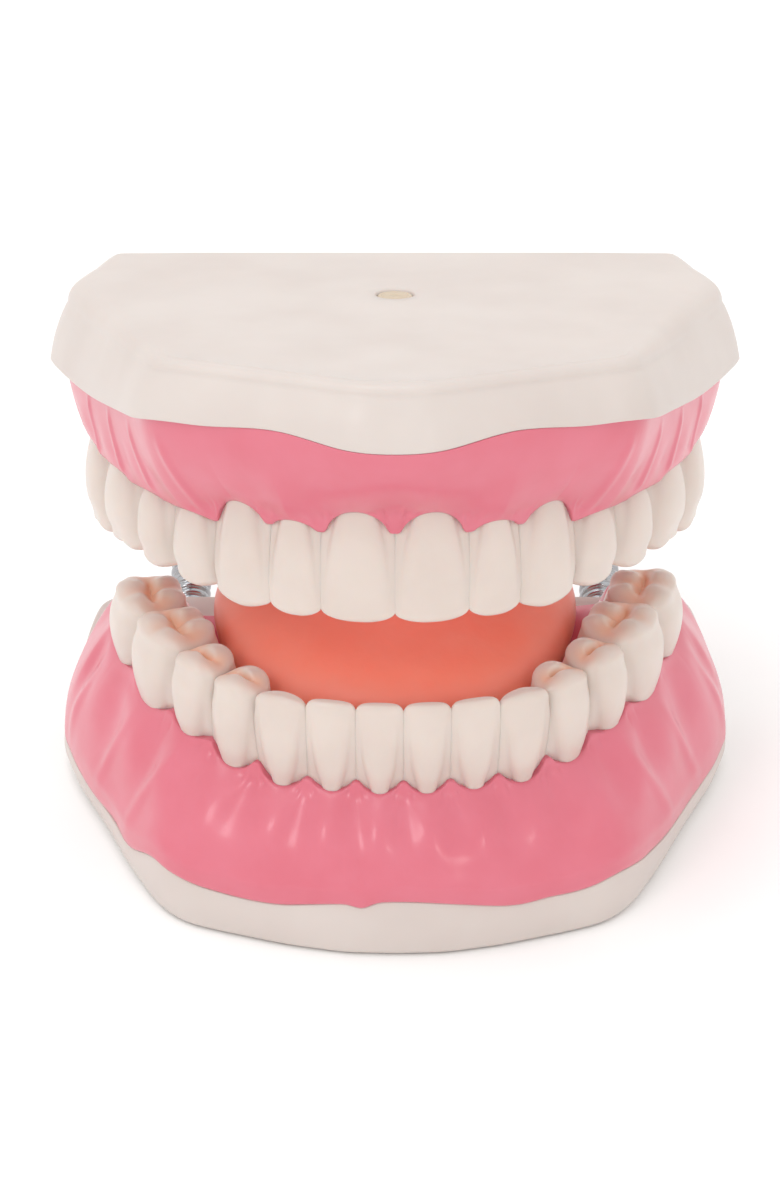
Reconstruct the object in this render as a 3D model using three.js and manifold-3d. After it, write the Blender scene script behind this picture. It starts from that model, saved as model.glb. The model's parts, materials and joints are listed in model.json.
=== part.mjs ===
// Typodont: an enlarged brushing model of a full mouth. A lower jaw (base, gum, 14 teeth, tongue)
// carries an upper jaw (base, gum with palate, 14 teeth) on two bendable metal goosenecks behind
// the molars. Millimetres, +Z up, incisors toward -Y, the model's own left side toward +X.
// The origin lies on the underside of the lower base, on the mid plane.
import * as THREE from "three";
import { mergeVertices } from "three/addons/utils/BufferGeometryUtils.js";
import Module from "manifold-3d";

const wasm = await Module();
wasm.setup();

// ---- Driving dimensions -------------------------------------------------------------------
const GAP = 0.3; // clearance between any two pieces that meet
const BITE_Z = 45; // height of the biting plane over the underside
const TOP_Z = 89; // height of the upper base's flat top when the jaws are closed
const REST_OPENING = THREE.MathUtils.degToRad(10); // how far the jaws stand open at rest
const HINGE = { y: 62.5, z: 47 }; // the point the upper jaw swings about
const NECK_X = 40; // goosenecks sit this far either side of the mid plane
const NECK_R = 3.95;
const NECK_LOWER_Z = 12;
const NECK_UPPER_Z = 82;
const NECK_HANDLE = 46; // how far each end of the gooseneck keeps to its own direction
const FERRULE_R = 5;
const FERRULE_BORE_R = NECK_R + GAP;
const FERRULE_LENGTH = 11;
const FERRULE_PROUD = 2; // the part of a ferrule that stands out of the base
const FERRULE_CHAMFER = 0.4;
const SCREW_Y = 10.5; // the middle screw of each jaw
const LOWER_REAR_Y = 42;
const UPPER_REAR_Y = 42;

// The row of teeth follows a superellipse: half width, depth, squareness and front edge.
const LOWER_ARCH = { halfWidth: 53.3, depth: 68.8, power: 2.2, frontY: -37.3 };
const UPPER_ARCH = { halfWidth: 57.2, depth: 72.7, power: 1.91, frontY: -40.5 };

// One row per tooth from the middle backwards: width along the row, thickness across it, height
// of the gum margin, and lift of the biting edge off the biting plane.
const TOOTH_NAMES = [
  "central_incisor",
  "lateral_incisor",
  "canine",
  "first_premolar",
  "second_premolar",
  "first_molar",
  "second_molar",
];
const LOWER_TEETH = [
  { width: 8.4, thick: 7.6, margin: 28.6, lift: 0, form: "incisor" },
  { width: 8.9, thick: 7.8, margin: 28.6, lift: 0, form: "incisor" },
  { width: 10, thick: 9.2, margin: 28, lift: -0.1, form: "canine" },
  { width: 10.8, thick: 10.2, margin: 28.4, lift: -0.2, form: "premolar" },
  { width: 11.2, thick: 11.2, margin: 30, lift: 0.2, form: "premolar" },
  { width: 16.6, thick: 14, margin: 29.8, lift: 0.3, form: "molar" },
  { width: 16.3, thick: 13.6, margin: 30.4, lift: -0.7, form: "molar" },
];
const UPPER_TEETH = [
  { width: 13.1, thick: 8.6, margin: 64.5, lift: -0.5, form: "incisor" },
  { width: 9.7, thick: 7.8, margin: 62, lift: -0.4, form: "incisor" },
  { width: 12, thick: 9.6, margin: 63.7, lift: -1, form: "canine" },
  { width: 12.5, thick: 12.2, margin: 59.6, lift: 0.2, form: "premolar" },
  { width: 11.2, thick: 12.6, margin: 60.3, lift: 0.6, form: "premolar" },
  { width: 15.1, thick: 15, margin: 61.2, lift: 0.7, form: "molar" },
  { width: 14.3, thick: 14.4, margin: 62.2, lift: -0.3, form: "molar" },
];

// Tooth forms, from the root tip to the biting edge. rise: 0 at the gum margin, 1 at the edge.
// width: share of the tooth's width. cheek and tongue: how far those two faces stand from the
// row's line, as a share of the thickness. narrow: how much the tongue side is narrower.
const FORMS = {
  incisor: {
    narrow: 0.3,
    cusp: 0,
    rows: [
      { rise: -0.5, width: 0.45, cheek: -0.2, tongue: -0.6 },
      { rise: -0.1, width: 0.8, cheek: -0.02, tongue: -0.9 },
      { rise: 0.14, width: 0.88, cheek: 0.06, tongue: -0.98 },
      { rise: 0.45, width: 0.95, cheek: 0.08, tongue: -0.78 },
      { rise: 0.8, width: 1, cheek: 0.04, tongue: -0.46 },
      { rise: 0.95, width: 0.98, cheek: -0.01, tongue: -0.34 },
      { rise: 1, width: 0.9, cheek: -0.08, tongue: -0.28 },
    ],
  },
  canine: {
    narrow: 0.3,
    cusp: 0.08,
    rows: [
      { rise: -0.5, width: 0.45, cheek: -0.2, tongue: -0.65 },
      { rise: -0.1, width: 0.8, cheek: -0.02, tongue: -0.92 },
      { rise: 0.14, width: 0.88, cheek: 0.06, tongue: -1 },
      { rise: 0.45, width: 0.97, cheek: 0.09, tongue: -0.86 },
      { rise: 0.75, width: 1, cheek: 0.05, tongue: -0.52 },
      { rise: 0.93, width: 0.9, cheek: -0.02, tongue: -0.36 },
      { rise: 1, width: 0.66, cheek: -0.1, tongue: -0.3 },
    ],
  },
  premolar: {
    narrow: 0.2,
    cusp: 0.06,
    rows: [
      { rise: -0.5, width: 0.5, cheek: -0.18, tongue: -0.78 },
      { rise: -0.1, width: 0.82, cheek: -0.02, tongue: -0.92 },
      { rise: 0.18, width: 0.92, cheek: 0.06, tongue: -0.98 },
      { rise: 0.6, width: 1, cheek: 0.06, tongue: -1 },
      { rise: 0.86, width: 0.96, cheek: 0, tongue: -0.92 },
      { rise: 1, width: 0.78, cheek: -0.14, tongue: -0.78 },
      { rise: 0.9, width: 0.4, cheek: -0.32, tongue: -0.62 },
    ],
  },
  molar: {
    narrow: 0.12,
    cusp: 0.08,
    rows: [
      { rise: -0.5, width: 0.6, cheek: -0.14, tongue: -0.82 },
      { rise: -0.1, width: 0.84, cheek: -0.02, tongue: -0.94 },
      { rise: 0.2, width: 0.94, cheek: 0.06, tongue: -0.99 },
      { rise: 0.6, width: 1, cheek: 0.06, tongue: -1 },
      { rise: 0.86, width: 0.97, cheek: 0, tongue: -0.94 },
      { rise: 1, width: 0.84, cheek: -0.12, tongue: -0.84 },
      { rise: 0.88, width: 0.46, cheek: -0.3, tongue: -0.68 },
    ],
  },
};
const TOOTH_SIDES = 10;
const TOOTH_SQUARENESS = 2.8;

// Half outlines of the two bases seen from above, from the front middle round to the rear.
const LOWER_OUTLINE = [
  [0, -46.4], [9, -46], [19, -43.6], [29, -40], [36.5, -37], [40.5, -33.5], [43.5, -29],
  [48, -19.5], [54, -4], [59, 8], [61.6, 17], [62, 25], [58.6, 33.5], [54, LOWER_REAR_Y],
  [44, LOWER_REAR_Y], [30, LOWER_REAR_Y], [15, LOWER_REAR_Y], [0, LOWER_REAR_Y],
];
const UPPER_OUTLINE = [
  [0, -49], [5.3, -49], [15, -44.6], [27.5, -38.8], [38.5, -33.7], [41, -31.8], [45, -21],
  [50, -7.5], [55, 6.5], [58.4, 16.5], [59.2, 21], [57.6, 27], [54.4, 36.5], [52, UPPER_REAR_Y],
  [43, UPPER_REAR_Y], [30, UPPER_REAR_Y], [15, UPPER_REAR_Y], [0, UPPER_REAR_Y],
];
const LOWER_MIDDLE_Z = 9; // where the lower base meets the gum, under the tongue
const UPPER_MIDDLE_Z = 78; // where the upper base meets the gum, over the palate

// The wavy rim where base and gum meet: its height along the front by distance from the mid plane,
// and the height it sweeps to at the rear, where the base is deep enough to hold the goosenecks.
const LOWER_SEAM = {
  front: [[0, 11.5], [8, 11], [22, 8.7], [33, 9], [41, 10], [50, 6.8], [70, 6.8]],
  rear: 23,
  sweepFrom: 24,
  sweepTo: 40,
};
const UPPER_SEAM = {
  front: [[0, 78.2], [8, 78.6], [20, 80.4], [32, 79.6], [42, 79.2], [54, 75.5], [70, 75]],
  rear: 70,
  sweepFrom: 16,
  sweepTo: 36,
};

// ---- Meshes as solids ---------------------------------------------------------------------
function toSolid(geometry) {
  const loose = geometry.index ? geometry.toNonIndexed() : geometry;
  const bare = new THREE.BufferGeometry();
  bare.setAttribute("position", loose.getAttribute("position"));
  const merged = mergeVertices(bare, 1e-4);
  return new wasm.Manifold(
    new wasm.Mesh({
      numProp: 3,
      vertProperties: merged.attributes.position.array,
      triVerts: new Uint32Array(merged.index.array),
    }),
  );
}

function toGeometry(solid) {
  const mesh = solid.getMesh();
  const geometry = new THREE.BufferGeometry();
  geometry.setAttribute("position", new THREE.BufferAttribute(mesh.vertProperties, 3));
  geometry.setIndex(new THREE.BufferAttribute(mesh.triVerts, 1));
  return geometry;
}

// A closed body through rings with the same number of points, ordered from one end to the other.
// Each end is closed by a fan to its middle point, or to the point given.
function loft(rings, firstMiddle, lastMiddle) {
  const count = rings[0].length;
  const points = rings.flat().map((p) => p.clone());
  const faces = [];
  for (let r = 0; r < rings.length - 1; r++) {
    for (let i = 0; i < count; i++) {
      const next = (i + 1) % count;
      const a = r * count + i;
      const b = r * count + next;
      faces.push(a, b, b + count, a, b + count, a + count);
    }
  }
  const middleOf = (ring) =>
    ring.reduce((sum, p) => sum.add(p), new THREE.Vector3()).divideScalar(count);
  const first = points.push(firstMiddle ?? middleOf(rings[0])) - 1;
  const last = points.push(lastMiddle ?? middleOf(rings[rings.length - 1])) - 1;
  const lastStart = (rings.length - 1) * count;
  for (let i = 0; i < count; i++) {
    const next = (i + 1) % count;
    faces.push(first, next, i);
    faces.push(last, lastStart + i, lastStart + next);
  }
  const geometry = new THREE.BufferGeometry().setFromPoints(points);
  geometry.setIndex(faces);
  return outward(geometry);
}

function signedVolume(geometry) {
  const position = geometry.getAttribute("position");
  const index = geometry.index;
  const corner = [new THREE.Vector3(), new THREE.Vector3(), new THREE.Vector3()];
  let volume = 0;
  for (let i = 0; i < index.count; i += 3) {
    corner.forEach((v, k) => v.fromBufferAttribute(position, index.getX(i + k)));
    volume += corner[0].dot(corner[1].cross(corner[2])) / 6;
  }
  return volume;
}

// The same body with every face looking outwards.
function outward(geometry) {
  if (signedVolume(geometry) > 0) return geometry;
  const index = geometry.index;
  for (let i = 0; i < index.count; i += 3) {
    const kept = index.getX(i + 1);
    index.setX(i + 1, index.getX(i + 2));
    index.setX(i + 2, kept);
  }
  return geometry;
}

// A solid of revolution about a line through centre, along axis, from a profile of [radius, along].
function turned(profile, centre, axis, sides = 20) {
  const geometry = new THREE.LatheGeometry(
    profile.map(([radius, along]) => new THREE.Vector2(radius, along)),
    sides,
  );
  const turn = new THREE.Quaternion().setFromUnitVectors(new THREE.Vector3(0, 1, 0), axis);
  geometry.applyQuaternion(turn).translate(centre.x, centre.y, centre.z);
  return toSolid(outward(geometry));
}

function rod(radius, length, centre, axis, sides) {
  const profile = [[0, 0], [radius, 0], [radius, length], [0, length]];
  return turned(profile, centre, axis, sides);
}

// ---- The line the teeth stand on ----------------------------------------------------------
// Points along the right-hand half of an arch by distance from the mid plane, run on straight
// backwards past its widest point.
function archLine(arch) {
  const steps = 400;
  const table = [{ s: 0, x: 0, y: arch.frontY }];
  for (let i = 1; i <= steps; i++) {
    const t = (i / steps) * (Math.PI / 2);
    const x = arch.halfWidth * Math.sin(t) ** (2 / arch.power);
    const y = arch.frontY + arch.depth * (1 - Math.max(Math.cos(t), 0) ** (2 / arch.power));
    const before = table[i - 1];
    table.push({ s: before.s + Math.hypot(x - before.x, y - before.y), x, y });
  }
  return (s) => {
    const side = s < 0 ? -1 : 1;
    const far = Math.abs(s);
    const next = table.findIndex((p) => p.s >= far);
    if (next <= 0) {
      const end = table[steps];
      return far > 0
        ? new THREE.Vector2(side * end.x, end.y + far - end.s)
        : new THREE.Vector2(0, arch.frontY);
    }
    const a = table[next - 1];
    const b = table[next];
    const share = (far - a.s) / (b.s - a.s);
    return new THREE.Vector2(side * (a.x + share * (b.x - a.x)), a.y + share * (b.y - a.y));
  };
}

// Where one tooth stands: its place on the line, the direction along the row and the direction
// towards the cheek.
function stationOn(line, s, halfSpan) {
  const before = line(s - halfSpan);
  const after = line(s + halfSpan);
  const along = after.clone().sub(before).normalize();
  const cheek = new THREE.Vector2(along.y, -along.x);
  return { at: line(s), along, cheek };
}

// ---- Teeth --------------------------------------------------------------------------------
function signedPower(value, power) {
  return Math.sign(value) * Math.abs(value) ** power;
}

// One tooth. Grown by `grow` on every side and cut off above the gum, it is its own socket.
function toothGeometry(tooth, station, edgeZ, crownDown, grow = 0) {
  const form = FORMS[tooth.form];
  const crown = Math.abs(edgeZ - tooth.margin);
  const up = crownDown ? -1 : 1;
  const rows = grow > 0 ? form.rows.filter((row) => row.rise < 0.7) : form.rows;
  const rings = rows.map((row, r) => {
    const halfWidth = (row.width * tooth.width) / 2 - GAP / 2 + grow;
    const cheek = row.cheek * tooth.thick + grow;
    const tongue = row.tongue * tooth.thick - grow;
    const isRoot = r === 0;
    const nearEdge = Math.max(0, row.rise - 0.8) / 0.2;
    const ring = [];
    for (let i = 0; i < TOOTH_SIDES; i++) {
      const angle = ((i + 0.5) / TOOTH_SIDES) * 2 * Math.PI;
      const across = signedPower(Math.cos(angle), 2 / TOOTH_SQUARENESS);
      const depth = signedPower(Math.sin(angle), 2 / TOOTH_SQUARENESS);
      const out = (cheek + tongue) / 2 + (depth * (cheek - tongue)) / 2;
      const inward = (cheek - out) / (cheek - tongue);
      const u = across * halfWidth * (1 - form.narrow * inward);
      const dip = form.cusp * crown * nearEdge * cuspDip(tooth.form, across, depth);
      const rise = tooth.margin + up * (row.rise * crown - dip) + (isRoot ? -up * grow : 0);
      ring.push(placed(station, u, out, rise));
    }
    return ring;
  });
  return loft(rings);
}

// 0 on a cusp, 1 in the dip between two cusps.
function cuspDip(form, across, depth) {
  if (form === "canine") return Math.abs(across) ** 1.5;
  if (form === "premolar") return Math.abs(across) ** 2;
  if (form === "molar") return 1 - Math.min(1, 2.4 * Math.abs(across * depth));
  return 0;
}

function placed(station, u, out, z) {
  return new THREE.Vector3(
    station.at.x + station.along.x * u + station.cheek.x * out,
    station.at.y + station.along.y * u + station.cheek.y * out,
    z,
  );
}

// Every tooth of one jaw, both sides: its name, its body and its socket. `slide` is how far the
// whole row is shifted along its line towards the model's left.
function toothRow(jaw, teeth, line, slide, crownDown) {
  const row = [];
  let start = 0;
  teeth.forEach((tooth, i) => {
    const s = start + tooth.width / 2;
    start += tooth.width;
    for (const side of [1, -1]) {
      const station = stationOn(line, side * s + slide, tooth.width / 2);
      const edgeZ = BITE_Z + tooth.lift;
      const sideName = side > 0 ? "left" : "right";
      row.push({
        name: `${jaw}_${sideName}_${TOOTH_NAMES[i]}`,
        geometry: toothGeometry(tooth, station, edgeZ, crownDown),
        socket: toothGeometry(tooth, station, edgeZ, crownDown, GAP),
      });
    }
  });
  return { row, reach: start };
}

// ---- Bases --------------------------------------------------------------------------------
function wholeOutline(half) {
  const left = half.map(([x, y]) => new THREE.Vector2(x, y));
  const right = half.slice(1, -1).map(([x, y]) => new THREE.Vector2(-x, y));
  return [...left, ...right.reverse()];
}

// The outline moved outwards by `grow`, each corner along the mean of its two edge normals.
function grownOutline(outline, grow) {
  const count = outline.length;
  return outline.map((p, i) => {
    const before = outline[(i + count - 1) % count];
    const after = outline[(i + 1) % count];
    const normalIn = new THREE.Vector2(p.y - before.y, before.x - p.x).normalize();
    const normalOut = new THREE.Vector2(after.y - p.y, p.x - after.x).normalize();
    const mean = normalIn.add(normalOut).normalize();
    return p.clone().addScaledVector(mean, grow);
  });
}

// Height of the seam between base and gum at a point on the rim.
function seamHeight(seam, x, y) {
  const front = interpolated(Math.abs(x), seam.front);
  return front + (seam.rear - front) * THREE.MathUtils.smoothstep(y, seam.sweepFrom, seam.sweepTo);
}

function interpolated(at, table) {
  const next = table.findIndex(([key]) => key >= at);
  if (next <= 0) return table[next < 0 ? table.length - 1 : 0][1];
  const [x0, y0] = table[next - 1];
  const [x1, y1] = table[next];
  return y0 + ((y1 - y0) * (at - x0)) / (x1 - x0);
}

function ringAt(outline, heightOf) {
  return outline.map((p) => new THREE.Vector3(p.x, p.y, heightOf(p)));
}

// The base as a plinth: flat face with a rounded edge, walls, and the seam surface that rises
// from the middle point to the wavy rim. `flare` is how much wider the wall is at the seam.
const EDGE_ROUND = 1.6;
const EDGE_STEP = 0.4; // how far the middle of the rounding stays inside the sharp corner
const RIM_BEVEL = 0.4;

function plinth(half, faceZ, middleZ, seam, flare) {
  const outline = wholeOutline(half);
  const inward = Math.sign(middleZ - faceZ);
  const rim = grownOutline(outline, flare);
  const rings = [
    ringAt(grownOutline(outline, -EDGE_ROUND), () => faceZ),
    ringAt(grownOutline(outline, -EDGE_STEP), () => faceZ + inward * EDGE_STEP),
    ringAt(outline, () => faceZ + inward * EDGE_ROUND),
    ringAt(rim, (p) => seamHeight(seam, p.x, p.y) - inward * RIM_BEVEL),
    ringAt(grownOutline(rim, -RIM_BEVEL), (p) => seamHeight(seam, p.x, p.y)),
  ];
  return loft(rings, new THREE.Vector3(0, 0, faceZ), new THREE.Vector3(0, 0, middleZ));
}

// A block that takes away everything on the base's side of the seam surface, GAP beyond it.
// It reaches past the rim along the same slopes, so the cut runs parallel to the base.
const CUTTER_REACH = 1.4;
const CUTTER_DEPTH = 20;

function seamCutter(half, faceZ, middleZ, seam, flare) {
  const inward = Math.sign(middleZ - faceZ);
  const rim = grownOutline(grownOutline(wholeOutline(half), flare), -RIM_BEVEL);
  const lifted = middleZ + inward * GAP;
  const wide = rim.map((p) => {
    const z = lifted + CUTTER_REACH * (seamHeight(seam, p.x, p.y) - middleZ);
    return new THREE.Vector3(p.x * CUTTER_REACH, p.y * CUTTER_REACH, z);
  });
  const farZ = faceZ - inward * CUTTER_DEPTH;
  const far = wide.map((p) => new THREE.Vector3(p.x, p.y, farZ));
  const farMiddle = new THREE.Vector3(0, 0, farZ);
  return toSolid(loft([far, wide], farMiddle, new THREE.Vector3(0, 0, lifted)));
}

// ---- Gums ---------------------------------------------------------------------------------
// Distance from a point to an outline along a direction.
function distanceToOutline(outline, from, direction) {
  let best = 0;
  outline.forEach((a, i) => {
    const b = outline[(i + 1) % outline.length];
    const edge = b.clone().sub(a);
    const cross = direction.x * edge.y - direction.y * edge.x;
    if (Math.abs(cross) < 1e-9) return;
    const offset = a.clone().sub(from);
    const along = (offset.x * edge.y - offset.y * edge.x) / cross;
    const share = (offset.x * direction.y - offset.y * direction.x) / cross;
    if (along > 0 && share >= -1e-6 && share <= 1 + 1e-6) best = Math.max(best, along);
  });
  return best;
}

// The ridge that carries the teeth: one cross-section swept from heel to heel.
const GUM_STATIONS = 35;
const GUM_SPAN = 2.5; // half the length over which the ridge's direction is read
const HEEL_END_SHARE = 0.2; // how much of the section is left at the very end of a heel
const INSET_FROM = 15; // the gum draws in from the base between these distances from the mid plane
const INSET_TO = 45;

function gumRidge(jaw) {
  const { line, slide, teeth, reach, half, flare, seam, faceZ, middleZ, heel } = jaw;
  const outline = grownOutline(wholeOutline(half), flare);
  const inward = Math.sign(middleZ - faceZ);
  const thicknesses = rowTable(teeth, "thick");
  const margins = rowTable(teeth, "margin");
  const end = reach + heel.length;
  margins.push([reach + heel.length / 2, heel.z], [end, heel.endZ]);
  const rings = [];
  for (let i = 0; i < GUM_STATIONS; i++) {
    const s = -end + (2 * end * i) / (GUM_STATIONS - 1);
    const station = stationOn(line, s + slide, GUM_SPAN);
    const wall = distanceToOutline(outline, station.at, station.cheek);
    const rimAt = station.at.clone().addScaledVector(station.cheek, wall);
    const sideways = THREE.MathUtils.smoothstep(Math.abs(station.at.x), INSET_FROM, INSET_TO);
    const past = Math.max(0, Math.abs(s) - reach) / heel.length;
    const section = gumSection({
      wall: wall - jaw.gumInset * sideways,
      seamZ: seamHeight(seam, rimAt.x, rimAt.y),
      margin: interpolated(Math.abs(s), margins),
      thick: interpolated(Math.abs(s), thicknesses),
      inward,
    });
    const centre = -interpolated(Math.abs(s), thicknesses) / 2;
    const share = Math.sqrt(1 - (1 - HEEL_END_SHARE ** 2) * Math.min(1, past) ** heel.blunt);
    rings.push(
      section.map(([out, z]) => placed(station, 0, centre + (out - centre) * share, z)),
    );
  }
  return toSolid(loft(rings));
}

// One cross-section of the ridge as [out towards the cheek, height]: up the cheek side from its
// foot inside the base, over the crest, and down the tongue side.
function gumSection({ wall, seamZ, margin, thick, inward }) {
  const foot = seamZ - inward * 6;
  const rise = margin - seamZ;
  return [
    [wall - 0.3, foot],
    [wall, seamZ + inward * 1.5],
    [wall - 0.6, seamZ + inward * 5],
    [(wall + 2) * 0.52, seamZ + rise * 0.66],
    [2.4, margin - inward * 2.2],
    [1.1, margin],
    [-1.4, margin + inward * 2.6],
    [-thick + 1.6, margin + inward * 2.2],
    [-thick - 1.1, margin - inward * 0.4],
    [-thick - 2.6, margin - inward * 3.4],
    [-thick - 4, seamZ + rise * 0.4],
    [-thick - 4.5, foot],
  ];
}

// One value of the teeth as [distance from the mid plane along the row, value].
function rowTable(teeth, key) {
  const table = [[0, teeth[0][key]]];
  let start = 0;
  for (const tooth of teeth) {
    table.push([start + tooth.width / 2, tooth[key]]);
    start += tooth.width;
  }
  return table;
}

// The plate inside the ridge: the floor of the mouth below, the vault of the palate above.
const PLATE_STEPS = 9;
const PLATE_ROOT = 8; // how far the plate reaches into the base before it is cut along the seam
const PLATE_INNER_SHARE = 0.55; // size of its flat middle
const PLATE_MIDDLE_Y = 2;
const PLATE_CORNER = 4;

function gumPlate(jaw) {
  const { line, reach, faceZ, middleZ, plate } = jaw;
  const inward = Math.sign(middleZ - faceZ);
  const half = [];
  for (let i = 0; i <= PLATE_STEPS; i++) {
    const station = stationOn(line, (plate.share * reach * i) / PLATE_STEPS, GUM_SPAN);
    const p = station.at.clone().addScaledVector(station.cheek, -plate.inset);
    half.push([i === 0 ? 0 : p.x, p.y]);
  }
  half.push([plate.rearX, plate.rearY - PLATE_CORNER]);
  half.push([plate.rearX - PLATE_CORNER, plate.rearY]);
  half.push([0, plate.rearY]);
  const outline = wholeOutline(half);
  const rootZ = middleZ - inward * PLATE_ROOT;
  const lift = (y) => plate.rearLift * THREE.MathUtils.smoothstep(y, 0, plate.rearY);
  const inner = outline.map((p) => {
    const y = p.y * PLATE_INNER_SHARE + PLATE_MIDDLE_Y;
    return new THREE.Vector3(p.x * PLATE_INNER_SHARE, y, plate.innerZ);
  });
  const rings = [ringAt(outline, () => rootZ), ringAt(outline, (p) => plate.edgeZ + lift(p.y)), inner];
  const rootMiddle = new THREE.Vector3(0, PLATE_MIDDLE_Y, rootZ);
  const innerMiddle = new THREE.Vector3(0, PLATE_MIDDLE_Y, plate.innerZ);
  return toSolid(loft(rings, rootMiddle, innerMiddle));
}

// ---- Tongue -------------------------------------------------------------------------------
// Cross-sections from tip to root: y, half width, top, widest line and underside.
const TONGUE_SECTIONS = [
  { y: -28.5, half: 6, top: 39, wide: 35, under: 31 },
  { y: -26.5, half: 13, top: 42, wide: 35, under: 28.5 },
  { y: -22, half: 20.5, top: 45, wide: 35.5, under: 24.5 },
  { y: -14, half: 26.5, top: 47.2, wide: 36.5, under: 23 },
  { y: -4, half: 30, top: 48.4, wide: 37.5, under: 23 },
  { y: 8, half: 32, top: 49, wide: 38, under: 23 },
  { y: 20, half: 31.5, top: 48, wide: 37.5, under: 23 },
  { y: 30, half: 28, top: 45, wide: 36, under: 23 },
  { y: 35, half: 21, top: 41, wide: 34, under: 25 },
  { y: 36.5, half: 14, top: 38, wide: 33, under: 28 },
];
const TONGUE_SIDES = 16;
const TONGUE_TUCK = 0.22; // how far the flanks draw in towards the floor of the mouth

function tongueGeometry() {
  const rings = TONGUE_SECTIONS.map(({ y, half, top, wide, under }) => {
    const ring = [];
    for (let i = 0; i < TONGUE_SIDES; i++) {
      const angle = (i / TONGUE_SIDES) * 2 * Math.PI;
      const rise = Math.sin(angle);
      const flank = Math.abs(Math.cos(angle)) ** 0.5;
      const tuck = rise < 0 ? 1 + TONGUE_TUCK * rise * flank : 1;
      const x = half * signedPower(Math.cos(angle), 0.85) * tuck;
      const z = wide + rise * (rise > 0 ? top - wide : wide - under);
      ring.push(new THREE.Vector3(x, y, z));
    }
    return ring;
  });
  return loft(rings);
}

// ---- Goosenecks ---------------------------------------------------------------------------
const BACKWARDS = new THREE.Vector3(0, 1, 0);

// A point of the closed upper jaw, carried round to where it stands at rest.
function atRest(point) {
  const out = point.clone();
  out.y -= HINGE.y;
  out.z -= HINGE.z;
  out.applyAxisAngle(new THREE.Vector3(1, 0, 0), -REST_OPENING);
  out.y += HINGE.y;
  out.z += HINGE.z;
  return out;
}

// The gooseneck's middle line: straight inside both ferrules, one even bend between their mouths.
const NECK_BEND_POINTS = 16;
const NECK_STEPS = 18;
const NECK_END_PLAY = 1; // between the gooseneck's end and the bottom of its ferrule

function neckLine(x) {
  const seat = FERRULE_LENGTH - FERRULE_PROUD - NECK_END_PLAY;
  const lowerSeat = new THREE.Vector3(x, LOWER_REAR_Y - seat, NECK_LOWER_Z);
  const lowerMouth = new THREE.Vector3(x, LOWER_REAR_Y + FERRULE_PROUD, NECK_LOWER_Z);
  const upperSeat = atRest(new THREE.Vector3(x, UPPER_REAR_Y - seat, NECK_UPPER_Z));
  const upperMouth = atRest(new THREE.Vector3(x, UPPER_REAR_Y + FERRULE_PROUD, NECK_UPPER_Z));
  const upperOut = BACKWARDS.clone().applyAxisAngle(new THREE.Vector3(1, 0, 0), -REST_OPENING);
  const bend = new THREE.CubicBezierCurve3(
    lowerMouth,
    lowerMouth.clone().addScaledVector(BACKWARDS, NECK_HANDLE),
    upperMouth.clone().addScaledVector(upperOut, NECK_HANDLE),
    upperMouth,
  );
  const points = [lowerSeat, ...bend.getPoints(NECK_BEND_POINTS), upperSeat];
  return new THREE.CatmullRomCurve3(points, false, "centripetal");
}

function neckGeometry(x) {
  const circle = new THREE.Shape();
  circle.absarc(0, 0, NECK_R, 0, 2 * Math.PI);
  const geometry = new THREE.ExtrudeGeometry(circle, {
    steps: NECK_STEPS,
    curveSegments: 6,
    bevelEnabled: false,
    extrudePath: neckLine(x),
  });
  const bare = new THREE.BufferGeometry();
  bare.setAttribute("position", geometry.getAttribute("position"));
  return outward(mergeVertices(bare, 1e-4));
}

// A ferrule: a short sleeve let into the rear face of a base, gripping the gooseneck's end.
const FERRULE_SIDES = 18;

function ferrule(x, rearY, z) {
  const start = rearY - (FERRULE_LENGTH - FERRULE_PROUD);
  const profile = [
    [FERRULE_BORE_R, 0],
    [FERRULE_R, 0],
    [FERRULE_R, FERRULE_LENGTH - FERRULE_CHAMFER],
    [FERRULE_R - FERRULE_CHAMFER, FERRULE_LENGTH],
    [FERRULE_BORE_R, FERRULE_LENGTH],
    [FERRULE_BORE_R, 0],
  ];
  return turned(profile, new THREE.Vector3(x, start, z), BACKWARDS, FERRULE_SIDES);
}

function ferruleHole(x, rearY, z) {
  const depth = FERRULE_LENGTH - FERRULE_PROUD + GAP;
  const start = new THREE.Vector3(x, rearY - depth, z);
  return rod(FERRULE_R + GAP, 2 * depth, start, BACKWARDS, FERRULE_SIDES);
}

// ---- Middle screws and their plugs --------------------------------------------------------
// Each jaw has one screw in a counterbore in its flat face, hidden under a push-in plug. Depths
// are counted from the flat face into the jaw.
const PLUG = { radius: 3.1, top: 0.25, bottom: 1.85, chamfer: 0.3 };
const SCREW = { headTop: 2.2, headBottom: 4.2, headRadius: 2.9, shankRadius: 1.5, point: 1 };
const SCREW_SIDES = 16;

function screwParts(faceZ, into, length) {
  const centre = new THREE.Vector3(0, SCREW_Y, faceZ);
  const axis = new THREE.Vector3(0, 0, into);
  const tip = SCREW.headTop + length;
  const solidOf = (profile) => turned(profile, centre, axis, SCREW_SIDES);
  const screw = solidOf([
    [0, SCREW.headTop],
    [SCREW.headRadius, SCREW.headTop],
    [SCREW.headRadius, SCREW.headBottom],
    [SCREW.shankRadius, SCREW.headBottom],
    [SCREW.shankRadius, tip - SCREW.point],
    [SCREW.shankRadius / 3, tip],
    [0, tip],
  ]);
  const plug = solidOf([
    [0, PLUG.top],
    [PLUG.radius - PLUG.chamfer, PLUG.top],
    [PLUG.radius, PLUG.top + PLUG.chamfer],
    [PLUG.radius, PLUG.bottom],
    [0, PLUG.bottom],
  ]);
  const hole = solidOf([
    [0, -1],
    [PLUG.radius + GAP, -1],
    [PLUG.radius + GAP, SCREW.headBottom + GAP],
    [SCREW.shankRadius + GAP, SCREW.headBottom + GAP],
    [SCREW.shankRadius + GAP, tip + GAP],
    [0, tip + GAP],
  ]);
  return { screw, plug, hole };
}

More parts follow.
